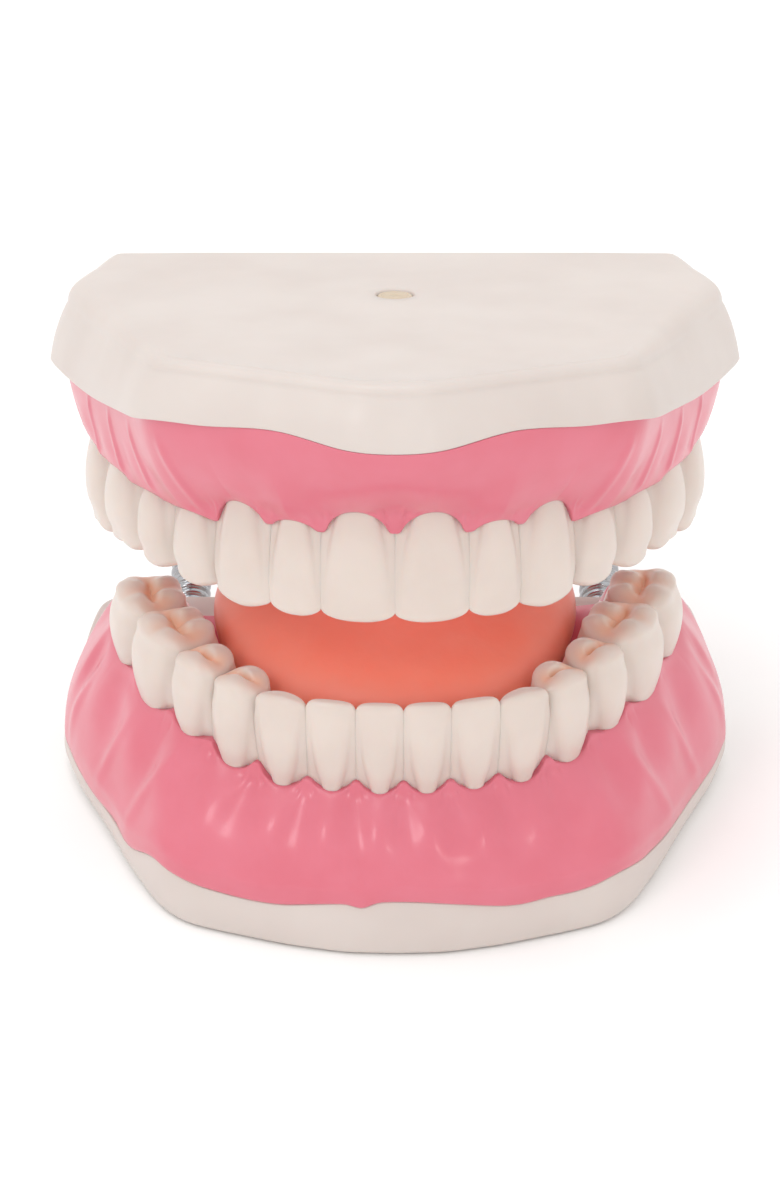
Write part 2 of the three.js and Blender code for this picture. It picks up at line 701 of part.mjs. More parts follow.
// ---- Build --------------------------------------------------------------------------------
const COLOURS = {
  ivory: { color: 0xf3ead9, roughness: 0.45, metalness: 0 },
  enamel: { color: 0xf8efdf, roughness: 0.3, metalness: 0 },
  gum: { color: 0xe8748d, roughness: 0.35, metalness: 0 },
  tongue: { color: 0xe8705c, roughness: 0.45, metalness: 0 },
  steel: { color: 0xc8ccd0, roughness: 0.25, metalness: 1 },
  plug: { color: 0xe2cdb0, roughness: 0.5, metalness: 0 },
};

const model = new THREE.Group();
const lowerJaw = new THREE.Group();
const upperJaw = new THREE.Group();
model.add(lowerJaw, upperJaw);

function addPiece(group, name, geometry, look) {
  const mesh = new THREE.Mesh(geometry, new THREE.MeshStandardMaterial(COLOURS[look]));
  mesh.name = name;
  group.add(mesh);
}

function buildJaw(spec) {
  const { name, group, faceZ, middleZ, half, seam, flare, rearY, neckZ } = spec;
  const into = Math.sign(middleZ - faceZ);
  const line = archLine(spec.arch);
  const { row, reach } = toothRow(name, spec.teeth, line, spec.slide, into < 0);
  const screw = screwParts(faceZ, into, spec.screwLength);
  const sides = [
    { x: NECK_X, side: "left" },
    { x: -NECK_X, side: "right" },
  ];

  let base = toSolid(plinth(half, faceZ, middleZ, seam, flare)).subtract(screw.hole);
  for (const { x, side } of sides) {
    base = base.subtract(ferruleHole(x, rearY, neckZ));
    addPiece(group, `${name}_${side}_ferrule`, toGeometry(ferrule(x, rearY, neckZ)), "steel");
  }
  addPiece(group, `${name}_base`, toGeometry(base), "ivory");

  const jaw = { ...spec, line, reach };
  let gum = gumRidge(jaw).add(gumPlate(jaw));
  gum = gum.subtract(seamCutter(half, faceZ, middleZ, seam, flare));
  gum = gum.subtract(screw.hole);
  for (const tooth of row) {
    gum = gum.subtract(toSolid(tooth.socket));
    addPiece(group, tooth.name, tooth.geometry, "enamel");
  }
  addPiece(group, `${name}_gum`, toGeometry(gum), "gum");
  addPiece(group, `${name}_screw`, toGeometry(screw.screw), "steel");
  addPiece(group, `${name}_plug`, toGeometry(screw.plug), "plug");
  return screw;
}

const lowerScrew = buildJaw({
  name: "lower",
  group: lowerJaw,
  faceZ: 0,
  middleZ: LOWER_MIDDLE_Z,
  half: LOWER_OUTLINE,
  seam: LOWER_SEAM,
  flare: 0.4,
  rearY: LOWER_REAR_Y,
  neckZ: NECK_LOWER_Z,
  teeth: LOWER_TEETH,
  arch: LOWER_ARCH,
  slide: 1.5,
  gumInset: 0.4,
  heel: { length: 21, z: 30.5, endZ: 27, blunt: 6 },
  plate: { share: 0.97, inset: 11, edgeZ: 21.5, innerZ: 21.5, rearLift: 0.5, rearX: 40, rearY: 39 },
  screwLength: 30,
});
buildJaw({
  name: "upper",
  group: upperJaw,
  faceZ: TOP_Z,
  middleZ: UPPER_MIDDLE_Z,
  half: UPPER_OUTLINE,
  seam: UPPER_SEAM,
  flare: 3.4,
  rearY: UPPER_REAR_Y,
  neckZ: NECK_UPPER_Z,
  teeth: UPPER_TEETH,
  arch: UPPER_ARCH,
  slide: 0,
  gumInset: 3,
  heel: { length: 13, z: 62.5, endZ: 65, blunt: 3 },
  plate: { share: 0.97, inset: 12, edgeZ: 64, innerZ: 68.5, rearLift: 1, rearX: 40, rearY: 34 },
  screwLength: 14,
});

const tongue = toSolid(tongueGeometry()).subtract(lowerScrew.hole);
addPiece(lowerJaw, "tongue", toGeometry(tongue), "tongue");
addPiece(lowerJaw, "left_gooseneck", neckGeometry(NECK_X), "steel");
addPiece(lowerJaw, "right_gooseneck", neckGeometry(-NECK_X), "steel");

// The upper jaw is drawn closed and then opened about the hinge.
upperJaw.position.set(0, HINGE.y, HINGE.z);
upperJaw.rotation.x = -REST_OPENING;
upperJaw.children.forEach((piece) => piece.geometry.translate(0, -HINGE.y, -HINGE.z));

export default model;
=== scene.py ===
"""Typodont, an enlarged brushing model of a full mouth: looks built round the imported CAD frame.

Shapes are worked out in millimetres, in the part's own frame (incisors toward -Y, up +Z, the
model's left toward +X), with the upper jaw drawn closed and then opened about the hinge.
"""

import json
import math
from types import SimpleNamespace

import bmesh
import bpy
import numpy as np
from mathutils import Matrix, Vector


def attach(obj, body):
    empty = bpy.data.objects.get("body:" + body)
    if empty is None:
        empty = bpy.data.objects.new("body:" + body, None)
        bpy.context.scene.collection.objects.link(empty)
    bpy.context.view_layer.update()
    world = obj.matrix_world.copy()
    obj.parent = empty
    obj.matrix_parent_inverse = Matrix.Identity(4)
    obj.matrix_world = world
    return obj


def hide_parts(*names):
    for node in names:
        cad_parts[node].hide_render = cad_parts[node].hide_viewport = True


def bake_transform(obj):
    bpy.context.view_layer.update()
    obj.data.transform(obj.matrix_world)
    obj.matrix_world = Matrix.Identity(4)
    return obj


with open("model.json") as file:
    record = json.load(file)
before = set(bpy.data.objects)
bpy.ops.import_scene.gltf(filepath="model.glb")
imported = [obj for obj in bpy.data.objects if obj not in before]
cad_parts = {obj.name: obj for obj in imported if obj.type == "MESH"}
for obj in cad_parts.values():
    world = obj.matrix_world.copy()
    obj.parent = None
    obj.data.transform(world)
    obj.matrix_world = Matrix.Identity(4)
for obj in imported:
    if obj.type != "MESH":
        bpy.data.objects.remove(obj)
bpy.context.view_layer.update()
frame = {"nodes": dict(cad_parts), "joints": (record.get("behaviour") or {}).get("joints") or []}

# ---- Driving dimensions ----
# These follow the CAD part. The canines are 0.3 mm shorter, to clear each other with jaws closed.
MM = 0.001
BITE_Z = 45.0
TOP_Z = 89.0
REST_OPENING = math.radians(10)
HINGE_Y, HINGE_Z = (c / MM for c in frame["joints"][0]["pos_m"][1:])
NECK_X = 40.0
NECK_RADIUS = 3.95
NECK_HANDLE = 46.0  # length of the handles of the goosenecks' curve
REAR_Y = 42.0
SCREW_Y = 10.5
FERRULE_PROUD = 2.0

# One row per tooth from the middle back. width along the row, thick across it, margin: height of
# the gum's arch on the cheek side, lift: of the biting edge over BITE_Z, tip: height of the
# papilla behind the tooth.
TOOTH_VALUES = ("width", "thick", "margin", "lift", "tip", "form")
LOWER_TEETH = [
    (8.4, 7.6, 28.6, 0.0, 29.3, "lower_incisor"),
    (8.9, 7.8, 28.6, 0.0, 28.9, "lower_incisor"),
    (10.0, 9.2, 28.0, -0.4, 29.8, "lower_canine"),
    (10.8, 10.2, 28.4, -0.2, 30.6, "premolar"),
    (11.2, 11.2, 30.0, 0.2, 31.4, "premolar"),
    (16.6, 14.0, 29.8, 0.3, 31.4, "molar"),
    (16.3, 13.6, 30.4, -0.7, 31.8, "molar"),
]
UPPER_TEETH = [
    (13.1, 8.6, 64.5, -0.5, 60.2, "upper_incisor"),
    (9.7, 7.8, 62.0, -0.4, 60.3, "upper_incisor"),
    (12.0, 9.6, 63.7, -0.7, 58.7, "upper_canine"),
    (12.5, 12.2, 59.6, 0.2, 59.2, "premolar"),
    (11.2, 12.6, 60.3, 0.6, 59.6, "premolar"),
    (15.1, 15.0, 61.2, 0.7, 60.4, "molar"),
    (14.3, 14.4, 62.2, -0.3, 61.5, "molar"),
]
TOOTH_NAMES = [
    "central_incisor", "lateral_incisor", "canine", "first_premolar", "second_premolar",
    "first_molar", "second_molar",
]

# Half outlines of the bases, front middle round to the rear middle.
LOWER_OUTLINE = [
    (0, -46.4), (9, -46), (19, -43.6), (29, -40), (36.5, -37), (40.5, -33.5), (43.5, -29),
    (48, -19.5), (54, -4), (59, 8), (61.6, 17), (62, 25), (58.6, 33.5), (54, REAR_Y), (0, REAR_Y),
]
UPPER_OUTLINE = [
    (0, -49), (5.3, -49), (15, -44.6), (27.5, -38.8), (38.5, -33.7), (41, -31.8), (45, -21),
    (50, -7.5), (55, 6.5), (58.4, 16.5), (59.2, 21), (57.6, 27), (54.4, 36.5), (52, REAR_Y),
    (0, REAR_Y),
]

# inward: +1 where the teeth stand above the base, -1 where they hang below it.
# half_width, depth, power, front_y: the arch the teeth stand on; slide: shift of the row along it.
# face_z, middle_z, flare, edge_radius, rim_radius, bead: the base. seam_*: the wavy line where base
# and gum meet, with its small nicks as (place, width, lift). The rest shapes the gum.
LOWER = dict(
    name="lower", body="lower_jaw", teeth=LOWER_TEETH, outline=LOWER_OUTLINE, inward=1,
    half_width=53.3, depth=68.8, power=2.2, front_y=-37.3, face_z=0.0, middle_z=9.0, flare=0.4,
    slide=1.5, first_tip=29.4, gum_inset=0.4, heel_length=21.0, heel_z=29.4, heel_end_z=27.0,
    heel_blunt=6, neck_z=12.0, edge_radius=2.2, rim_radius=0.4, lip=0.45, groove=0.5, bared=1.2,
    root_bulge=0.5, margin_out=-0.25, papilla_back=0.6, belly_power=2.1,
    seam_x=[0, 8, 22, 33, 41, 50, 70], seam_z=[11.5, 11, 8.7, 9, 10, 6.8, 6.8],
    seam_nicks=[(-5.7, 2.0, -1.0), (-43, 2.4, 0.9), (-48, 2.4, -0.9), (27, 3, 0.3), (44, 4, -0.5)],
    seam_rear=23.0, seam_from=24.0, seam_to=40.0, bead=0.0,
    plate_edge=21.5, plate_middle=21.5,
)
UPPER = dict(
    name="upper", body="upper_jaw", teeth=UPPER_TEETH, outline=UPPER_OUTLINE, inward=-1,
    half_width=57.2, depth=72.7, power=1.91, front_y=-40.5, face_z=TOP_Z, middle_z=78.0, flare=3.4,
    slide=0.0, first_tip=60.6, gum_inset=3.0, heel_length=13.0, heel_z=62.5, heel_end_z=65.0,
    heel_blunt=3, neck_z=82.0, edge_radius=3.0, rim_radius=0.2, lip=0.0, groove=0.0, bared=0.0,
    root_bulge=0.3, margin_out=0.35, papilla_back=1.0, belly_power=1.7,
    seam_x=[0, 8, 20, 32, 42, 54, 70], seam_z=[78.2, 78.6, 80.4, 79.6, 79.2, 75.5, 75],
    seam_nicks=[], seam_rear=70.0, seam_from=16.0, seam_to=36.0, bead=0.2,
    plate_edge=64.0, plate_middle=68.5,
)


# ---- Small maths ----
def smoothstep(x, low, high):
    t = np.clip((np.asarray(x, float) - low) / (high - low), 0, 1)
    return t * t * (3 - 2 * t)


def bell(x, width):
    return np.exp(-((np.asarray(x) / width) ** 2))


def signed_power(value, power):
    return np.sign(value) * np.abs(value) ** power


def through(keys, values, x):
    """A smooth curve through (key, value) pairs, read at x; level beyond both ends."""
    keys, values = np.asarray(keys, float), np.asarray(values, float)
    slopes = np.gradient(values, keys)
    slopes[0] = slopes[-1] = 0
    x = np.clip(np.asarray(x, float), keys[0], keys[-1])
    i = np.clip(np.searchsorted(keys, x, side="right") - 1, 0, len(keys) - 2)
    span = keys[i + 1] - keys[i]
    t = (x - keys[i]) / span
    return (
        values[i] * (1 + 2 * t) * (1 - t) ** 2
        + slopes[i] * span * t * (1 - t) ** 2
        + values[i + 1] * t * t * (3 - 2 * t)
        + slopes[i + 1] * span * t * t * (t - 1)
    )


def distance_along(points):
    """Distance of each point from the first one along the line through all of them."""
    return np.concatenate([[0], np.cumsum(np.linalg.norm(np.diff(points, axis=0), axis=1))])


def spline_rows(points, samples):
    """Catmull-Rom along axis 1 of (stations, keys, 2), with a number of samples per segment."""
    padded = np.concatenate(
        [2 * points[:, :1] - points[:, 1:2], points, 2 * points[:, -1:] - points[:, -2:-1]],
        axis=1,
    )
    rows = []
    for k, count in enumerate(samples):
        a, b, c, d = (padded[:, k + j] for j in range(4))
        for t in np.arange(count) / count:
            square, cube = 2 * a - 5 * b + 4 * c - d, 3 * b - a - 3 * c + d
            rows.append(0.5 * (2 * b + (c - a) * t + square * t * t + cube * t ** 3))
    rows.append(points[:, -1])
    return np.stack(rows, axis=1)


def waves(x, y, z, scale, seed):
    """Gentle unevenness between about -1 and 1, the same every run."""
    rng = np.random.default_rng(seed)
    total = np.zeros(np.broadcast(x, y, z).shape)
    for _ in range(6):
        direction = rng.normal(size=3)
        direction /= np.linalg.norm(direction)
        pitch = scale * rng.uniform(0.6, 1.6)
        phase = rng.uniform(0, 2 * math.pi)
        along = x * direction[0] + y * direction[1] + z * direction[2]
        total += np.sin(along * 2 * math.pi / pitch + phase)
    return total / 6


# ---- Meshes ----
def grid_faces(rows, columns, closed):
    """Quads over points numbered row by row; closed joins the last column to the first."""
    r, c = np.mgrid[: rows - 1, : columns if closed else columns - 1]
    here = r * columns + c
    right = r * columns + (c + 1) % columns
    return np.stack([here, right, right + columns, here + columns], axis=-1).reshape(-1, 4).tolist()


def capped_grid(rows, columns):
    """Quads round a tube of points, with a face over each end."""
    last = (rows - 1) * columns
    ends = [list(range(columns)), list(range(last, last + columns))]
    return grid_faces(rows, columns, closed=True) + ends


def fan(hub, loop):
    """Triangles from a point to the sides of a closed loop."""
    return [[hub, loop[i - 1], loop[i]] for i in range(len(loop))]


def opened(points):
    """The closed upper jaw's points carried round to where they stand at rest."""
    y, z = points[..., 1] - HINGE_Y, points[..., 2] - HINGE_Z
    c, s = math.cos(REST_OPENING), math.sin(REST_OPENING)
    out = points.copy()
    out[..., 1] = HINGE_Y + y * c + z * s
    out[..., 2] = HINGE_Z - y * s + z * c
    return out


def add_object(name, data):
    holder = bpy.data.objects.new(name, data)
    bpy.context.scene.collection.objects.link(holder)
    return holder


def make_piece(name, points, faces, kind, jaw, node, shade=None, weld=0.0, sharp=None):
    """A mesh object from millimetre points, riding on a jaw and standing for a CAD node.

    kind is its entry in SLOTS and MATERIALS; shade is a value per point that the material reads
    as painted shade; weld joins points closer than that; edges sharper than sharp are shaded as
    creases.
    """
    points = points.reshape(-1, 3)
    if jaw is UPPER:
        points = opened(points)
    mesh = bpy.data.meshes.new(name)
    mesh.from_pydata((points * MM).tolist(), [], faces)
    if shade is not None:
        layer = mesh.attributes.new("shade", "FLOAT", "POINT")
        layer.data.foreach_set("value", np.asarray(shade, np.float32).ravel())
    build = bmesh.new()
    build.from_mesh(mesh)
    if weld:
        bmesh.ops.remove_doubles(build, verts=build.verts, dist=weld * MM)
    bmesh.ops.recalc_face_normals(build, faces=build.faces)
    for face in build.faces:
        face.smooth = True
    if sharp:
        for edge in build.edges:
            if edge.is_manifold and edge.calc_face_angle() > sharp:
                edge.smooth = False
    build.to_mesh(mesh)
    build.free()
    mesh.materials.append(MATERIALS[kind])
    piece = add_object(name, mesh)
    if jaw is not None:
        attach(piece, jaw["body"])
    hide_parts(node)
    return piece


# ---- The line the teeth stand on ----
def arch_table(jaw):
    """The arch, a flattened ellipse, as a table: distance from the mid plane, x and y."""
    t = np.linspace(0, math.pi / 2, 1200)
    x = jaw["half_width"] * np.sin(t) ** (2 / jaw["power"])
    y = jaw["front_y"] + jaw["depth"] * (1 - np.maximum(np.cos(t), 0) ** (2 / jaw["power"]))
    s = np.concatenate([[0], np.cumsum(np.hypot(np.diff(x), np.diff(y)))])
    return s, x, y


def arch_point(jaw, s):
    """Points on the tooth line at signed distances from the mid plane, straight past its end."""
    table_s, table_x, table_y = jaw["arch"]
    far = np.abs(s)
    x = np.interp(far, table_s, table_x) * np.where(np.asarray(s) < 0, -1, 1)
    y = np.interp(far, table_s, table_y) + np.maximum(far - table_s[-1], 0)
    return np.stack([x, y], axis=-1)


def arch_station(jaw, s, half_span):
    """Place on the line and direction out towards the cheek, square to the line there."""
    along = arch_point(jaw, s + half_span) - arch_point(jaw, s - half_span)
    along = along / np.linalg.norm(along, axis=-1, keepdims=True)
    cheek = np.stack([along[..., 1], -along[..., 0]], axis=-1)
    return arch_point(jaw, s), cheek


def set_up(jaw):
    """Works out what follows from a jaw's dimensions: arch, places of the teeth, base outline."""
    jaw["arch"] = arch_table(jaw)
    jaw["teeth"] = [dict(zip(TOOTH_VALUES, row)) for row in jaw["teeth"]]
    start = 0.0
    for tooth in jaw["teeth"]:
        tooth["s"] = start + tooth["width"] / 2
        start += tooth["width"]
    jaw["reach"] = start
    half = np.array(jaw["outline"], float)
    mirrored = half[1:-1][::-1] * [-1, 1]
    jaw["ring"] = rounded_outline(np.concatenate([half, mirrored]))
    jaw["normals"] = ring_normals(jaw["ring"])
    jaw["rim"] = jaw["ring"] + jaw["normals"] * jaw["flare"]


def rounded_outline(corners, count=480, smooth=12):
    """The outline resampled evenly, with its corners softened."""
    closed = np.concatenate([corners, corners[:1]])
    s = distance_along(closed)
    at = np.linspace(0, s[-1], count, endpoint=False)
    ring = np.stack([np.interp(at, s, closed[:, k]) for k in range(2)], axis=1)
    for _ in range(smooth):
        ring = 0.25 * np.roll(ring, 1, 0) + 0.5 * ring + 0.25 * np.roll(ring, -1, 0)
    return ring


def ring_normals(ring):
    along = np.roll(ring, -1, 0) - np.roll(ring, 1, 0)
    normal = np.stack([along[:, 1], -along[:, 0]], axis=1)
    return normal / np.linalg.norm(normal, axis=1, keepdims=True)


def softened(radius, ring):
    """An edge radius along a ring, kept below the ring's own radius at its corners."""
    step = np.roll(ring, -1, 0) - ring
    heading = np.arctan2(step[:, 1], step[:, 0])
    turn = np.abs((heading - np.roll(heading, 1) + math.pi) % (2 * math.pi) - math.pi)
    length = np.linalg.norm(step, axis=1)
    limit = 0.7 * length / np.maximum(turn, 1e-3)
    out = np.minimum(radius, limit)
    reach = 6
    out = np.min([np.roll(out, k) for k in range(-reach, reach + 1)], axis=0)
    return np.mean([np.roll(out, k) for k in range(-reach, reach + 1)], axis=0)


def seam_height(jaw, x, y):
    """Height of the wavy line where base and gum meet, at a point of the rim."""
    front = through(jaw["seam_x"], jaw["seam_z"], np.abs(x))
    for place, width, lift in jaw["seam_nicks"]:
        front = front + lift * bell(x - place, width)
    rear = smoothstep(y, jaw["seam_from"], jaw["seam_to"])
    return front + (jaw["seam_rear"] - front) * rear


def seam_surface(jaw, x, y):
    """The surface between base and gum: a cone from the middle out to the wavy rim."""
    rim = jaw["rim"]
    angle = np.arctan2(rim[:, 1], rim[:, 0])
    at = np.arctan2(y, x)
    radius = np.interp(at, angle, np.hypot(*rim.T), period=2 * math.pi)
    height = np.interp(at, angle, seam_height(jaw, *rim.T), period=2 * math.pi)
    return jaw["middle_z"] + (height - jaw["middle_z"]) * np.hypot(x, y) / radius


# ---- Teeth ----
# Values at each rise, from the root (below 0) past the gum margin (0) to the biting edge (1).
# face: width of the crown's front, as a share of its full width; cheek, tongue: how far those two
# sides stand from the row's line, as a share of the thickness; flank: rise over which squared
# flanks turn round; square: how square a ring is; narrow: how much less wide the tongue side is;
# corner, rim: rounding of the edge; cusp: depth of its relief.
EDGED = dict(rise=[-0.25, 0, 0.15, 0.35, 0.6, 0.85, 1], flank=(0.7, 1.0))
TABLED = dict(rise=[-0.25, 0, 0.2, 0.45, 0.7, 1], flank=(0.35, 0.8))
INCISOR = dict(EDGED, tongue=[-0.8, -0.94, -0.98, -0.84, -0.62, -0.44, -0.36])
CANINE = dict(EDGED, tongue=[-0.8, -0.94, -1.0, -0.9, -0.7, -0.5, -0.42], square=2.7, narrow=0.3)
TOOTH_FORMS = {
    "upper_incisor": dict(
        INCISOR, square=3.2, narrow=0.25, corner=2.0, rim=1.2, cusp=0.7,
        face=[0.5, 0.6, 0.72, 0.85, 0.94, 0.99, 1],
        cheek=[-0.06, 0.02, 0.06, 0.08, 0.07, 0.03, -0.01],
    ),
    "lower_incisor": dict(
        INCISOR, square=2.8, narrow=0.2, corner=1.3, rim=1.1, cusp=0.15,
        face=[0.4, 0.54, 0.7, 0.82, 0.91, 0.98, 1],
        cheek=[-0.1, -0.02, 0.04, 0.07, 0.06, 0.03, 0.0],
    ),
    "upper_canine": dict(
        CANINE, corner=2.4, rim=1.6, cusp=1.0,
        face=[0.52, 0.62, 0.73, 0.85, 0.94, 0.98, 0.98],
        cheek=[-0.06, 0.02, 0.07, 0.1, 0.09, 0.04, -0.02],
    ),
    "lower_canine": dict(
        CANINE, corner=1.7, rim=1.4, cusp=0.5,
        face=[0.4, 0.54, 0.7, 0.82, 0.91, 0.98, 1],
        cheek=[-0.1, -0.02, 0.05, 0.09, 0.08, 0.04, 0.0],
    ),
    "premolar": dict(
        TABLED, square=2.5, narrow=0.16, corner=2.8, rim=3.0, cusp=1.9,
        face=[0.55, 0.66, 0.8, 0.92, 0.99, 0.98],
        cheek=[-0.1, -0.02, 0.05, 0.08, 0.07, -0.02],
        tongue=[-0.84, -0.94, -0.98, -1.0, -0.99, -0.9],
    ),
    "molar": dict(
        TABLED, square=2.7, narrow=0.1, corner=3.0, rim=3.4, cusp=2.1,
        face=[0.66, 0.76, 0.86, 0.95, 1, 0.99],
        cheek=[-0.08, 0.0, 0.05, 0.08, 0.065, -0.02],
        tongue=[-0.88, -0.95, -0.98, -1.0, -0.99, -0.92],
    ),
}
TABLE_FORMS = ("premolar", "molar")  # forms with a biting table instead of an edge
TOOTH_SIDES = 80
TOOTH_SPAN = 3.0  # half length over which the row's direction is taken
WALL_ROWS = 26
RIM_ROWS = 8
TABLE_ROWS = 14
WEB_FROM, WEB_TO = 0.15, 0.25  # where, from the cheek inwards, a crown widens to its full width
FLANK_FROM, FLANK_TO = 0.4, 0.75  # behind this the flanks round off towards the tongue side
WEB_OVERLAP = 0.05  # share of its half width by which a crown's web runs into its neighbour's
RIM_HEIGHT = 1.9  # height of the rounding of the biting edge
FISSURE_DEPTH = 0.2


def biting_dip(form, u, w):
    """How far the biting side lies below the cusp tips (0 at a tip, 1 in the deepest groove)."""
    if form.endswith("incisor"):
        return np.abs(u) ** 2.6
    if form.endswith("canine"):
        return np.abs(u) ** 1.7
    groove = bell(w - 0.08 * np.sin(4 * u), 0.45) * (1 - 0.55 * smoothstep(np.abs(u), 0.5, 1))
    cheek_side = smoothstep(w, -0.3, 0.6)
    if form == "premolar":
        across = 0.5 * np.abs(u) ** 1.8
    else:
        across = (0.5 - 0.15 * cheek_side) * (0.5 + 0.5 * np.cos(2 * math.pi * (u - 0.06 * w)))
    return 1 - (1 - across) * (1 - 0.9 * groove)


def fissure(form, u, w):
    """Narrow grooves on the biting side, 1 on the line of a groove."""
    if form not in TABLE_FORMS:
        return np.zeros(np.broadcast(u, w).shape)
    inside = 1 - smoothstep(np.maximum(np.abs(u), np.abs(w)), 0.5, 0.8)
    line = bell(w - 0.08 * np.sin(4 * u), 0.09)
    if form == "molar":
        line = np.maximum(line, bell(u - 0.06 * w, 0.09))
    return line * inside


def tooth_rows(form, shoulder):
    """A tooth's rings from root to middle of the biting side, as (rise, roll of the rim, size)."""
    rows = [(rise, 0.0, 1.0) for rise in np.linspace(form["rise"][0], shoulder, WALL_ROWS)]
    rows += [(shoulder, roll, 1.0) for roll in np.linspace(0, math.pi / 2, RIM_ROWS + 1)[1:]]
    rows += [(shoulder, math.pi / 2, k) for k in np.linspace(1, 0, TABLE_ROWS + 1)[1:-1]]
    return rows


def tooth_ring(tooth, form, level, roll, u, w, size):
    """One ring as distances along the row and out to the cheek.

    u and w are its shares of half the width and half the thickness, size at most.
    """
    thick, rolled = tooth["thick"], 1 - math.cos(roll)
    profiles = (form["face"], form["cheek"], form["tongue"])
    face, cheek, tongue = (float(through(form["rise"], values, level)) for values in profiles)
    half = tooth["width"] / 2 - form["corner"] * rolled
    outer = cheek * thick - form["rim"] * rolled
    inner = tongue * thick + form["rim"] * rolled
    out = (outer + inner) / 2 + w * (outer - inner) / 2
    inwards = (cheek * thick - out) / ((cheek - tongue) * thick)
    webbed = smoothstep(inwards, WEB_FROM, WEB_TO)
    lobe = face + (1 + WEB_OVERLAP - face) * webbed
    flank = webbed * (1 - smoothstep(inwards, FLANK_FROM, FLANK_TO))
    flank = flank * (1 - smoothstep(level, *form["flank"])) * (roll == 0)
    squared = u + (np.sign(u) * size - u) * flank
    along = squared * half * lobe * (1 - form["narrow"] * smoothstep(inwards, 0.3, 1))
    return along, out


def tooth_surface(tooth, jaw, side):
    """Points of one tooth ring by ring, and for each a painted shade (0..1) that grows with how far
    it lies down in the pits and grooves of the biting table.
    """
    kind = tooth["form"]
    form = TOOTH_FORMS[kind]
    crown = abs(BITE_Z + tooth["lift"] - tooth["margin"])
    shoulder = 1 - RIM_HEIGHT / crown
    angle = (np.arange(TOOTH_SIDES) + 0.5) / TOOTH_SIDES * 2 * math.pi
    across = signed_power(np.cos(angle), 2 / form["square"])
    depth = signed_power(np.sin(angle), 2 / form["square"])

    points, shade = [], []
    for rise, roll, size in tooth_rows(form, shoulder):
        u, w = across * size, depth * size
        level = rise / shoulder if rise > 0 else rise
        along, out = tooth_ring(tooth, form, level, roll, u, w, size)
        weight = smoothstep(rise, 0.45, 1.0) * math.cos(roll) + math.sin(roll)
        dip = biting_dip(kind, u, w) * form["cusp"] * min(1, weight)
        line = fissure(kind, u, w) * FISSURE_DEPTH * math.sin(roll)
        height = rise * crown + RIM_HEIGHT * math.sin(roll) - dip - line
        z = tooth["margin"] + jaw["inward"] * height
        at, cheek = arch_station(jaw, side * tooth["s"] + jaw["slide"] + along, TOOTH_SPAN)
        points.append(np.concatenate([at + cheek * out[:, None], z[:, None]], axis=-1))
        # Painted shade: pits and fissure lines of the biting table get a shade value, and the
        # material paints them darker and warmer there, as shade and the tongue's reflected warm
        # light.
        on_table = math.sin(roll) ** 2 if kind in TABLE_FORMS else 0
        pit = dip / max(form["cusp"], 1) * on_table
        shade.append(np.clip(1.3 * pit ** 1.3 + line * 0.8, 0, 1))
    return np.array(points), np.array(shade)


def make_tooth(tooth, jaw, side, name):
    points, shade = tooth_surface(tooth, jaw, side)
    rows, columns = points.shape[:2]
    count, last = rows * columns, (rows - 1) * columns
    ends = fan(count, range(columns)) + fan(count + 1, range(last, count))
    faces = grid_faces(rows, columns, closed=True) + ends
    points = np.concatenate([points.reshape(-1, 3), [points[0].mean(0), points[-1].mean(0)]])
    shade = np.concatenate([shade.ravel(), [0, shade[-1].mean()]])
    return make_piece(name + "_crown", points, faces, "tooth", jaw, name, shade)


# ---- Gums ----
# A gum is a loop per station along the row: from the seam up the cheek side, over the crest, down
# the tongue side, in to the mid plane, and back out along the base.
GUM_STATIONS = 801
GUM_SPAN = 2.5  # half length over which the row's direction is taken
ARCH_SHARE = 0.84  # share of a tooth's width under the arch of the gum; the rest is papilla
ARCH_POWER = 0.6  # 0.5 would be a round arch
SOFTENING = np.array([1, 2, 3, 2, 1]) / 9  # weights that round the foot of each arch
BARED_FROM, BARED_TO = 24, 42  # distance along the row over which the gum rises to its full height
HEEL_KEYS = [0, 0.5, 0.85, 1]  # shares of the heel behind the last tooth where its height is set
HEEL_FADE = 0.15  # share of the heel over which the forms of the teeth die out
INSET_FROM, INSET_TO = 15, 45  # half widths between which the gum steps back from the base's rim
FACE_SHARES = (0.15, 0.3, 0.45, 0.6, 0.74, 0.86, 0.95)  # keys up the cheek side
FACE_SAMPLES = [2, 3, 4, 4, 4, 4, 4, 3, 2]  # rows between those keys, with the foot and the edge
CREST_SAMPLES = [3, 3, 3, 3, 3, 5, 6]  # and from the edge over the crest and down the tongue side
CREST_HEIGHT = 0.4  # how far the crest stands above the edge, inside the crowns
ROOT_LEVEL, ROOT_REACH = 0.75, 0.25  # where up the cheek side the roots bulge, and how far
PLATE_ROWS = 14
PLATE_FRONT = 14  # distance behind the arch's front where the rows meet on the mid plane
PLATE_MIDDLE_Y = 6  # where the rows from half way along the teeth meet there
TUCKED_ROWS = 8  # rows of the tongue side that are also kept clear of the base
UNDER_ROWS = 8


def tooth_tables(jaw, s):
    """For each distance along the row: place within its tooth (-1..1), and that tooth's values."""
    far = np.abs(s)
    names = ("s", "width", "thick", "margin", "tip")
    place, width, thick, margin, tip = (np.array([t[n] for t in jaw["teeth"]]) for n in names)
    i = np.clip(np.searchsorted(np.cumsum(width), far), 0, len(width) - 1)
    within = np.clip((far - place[i]) / (width[i] / 2), -1, 1)
    tips = np.concatenate([[jaw["first_tip"]], tip])
    nearer_tip = np.where(within < 0, tips[i], tips[i + 1])
    return within, margin[i], nearer_tip, np.interp(far, place, thick)


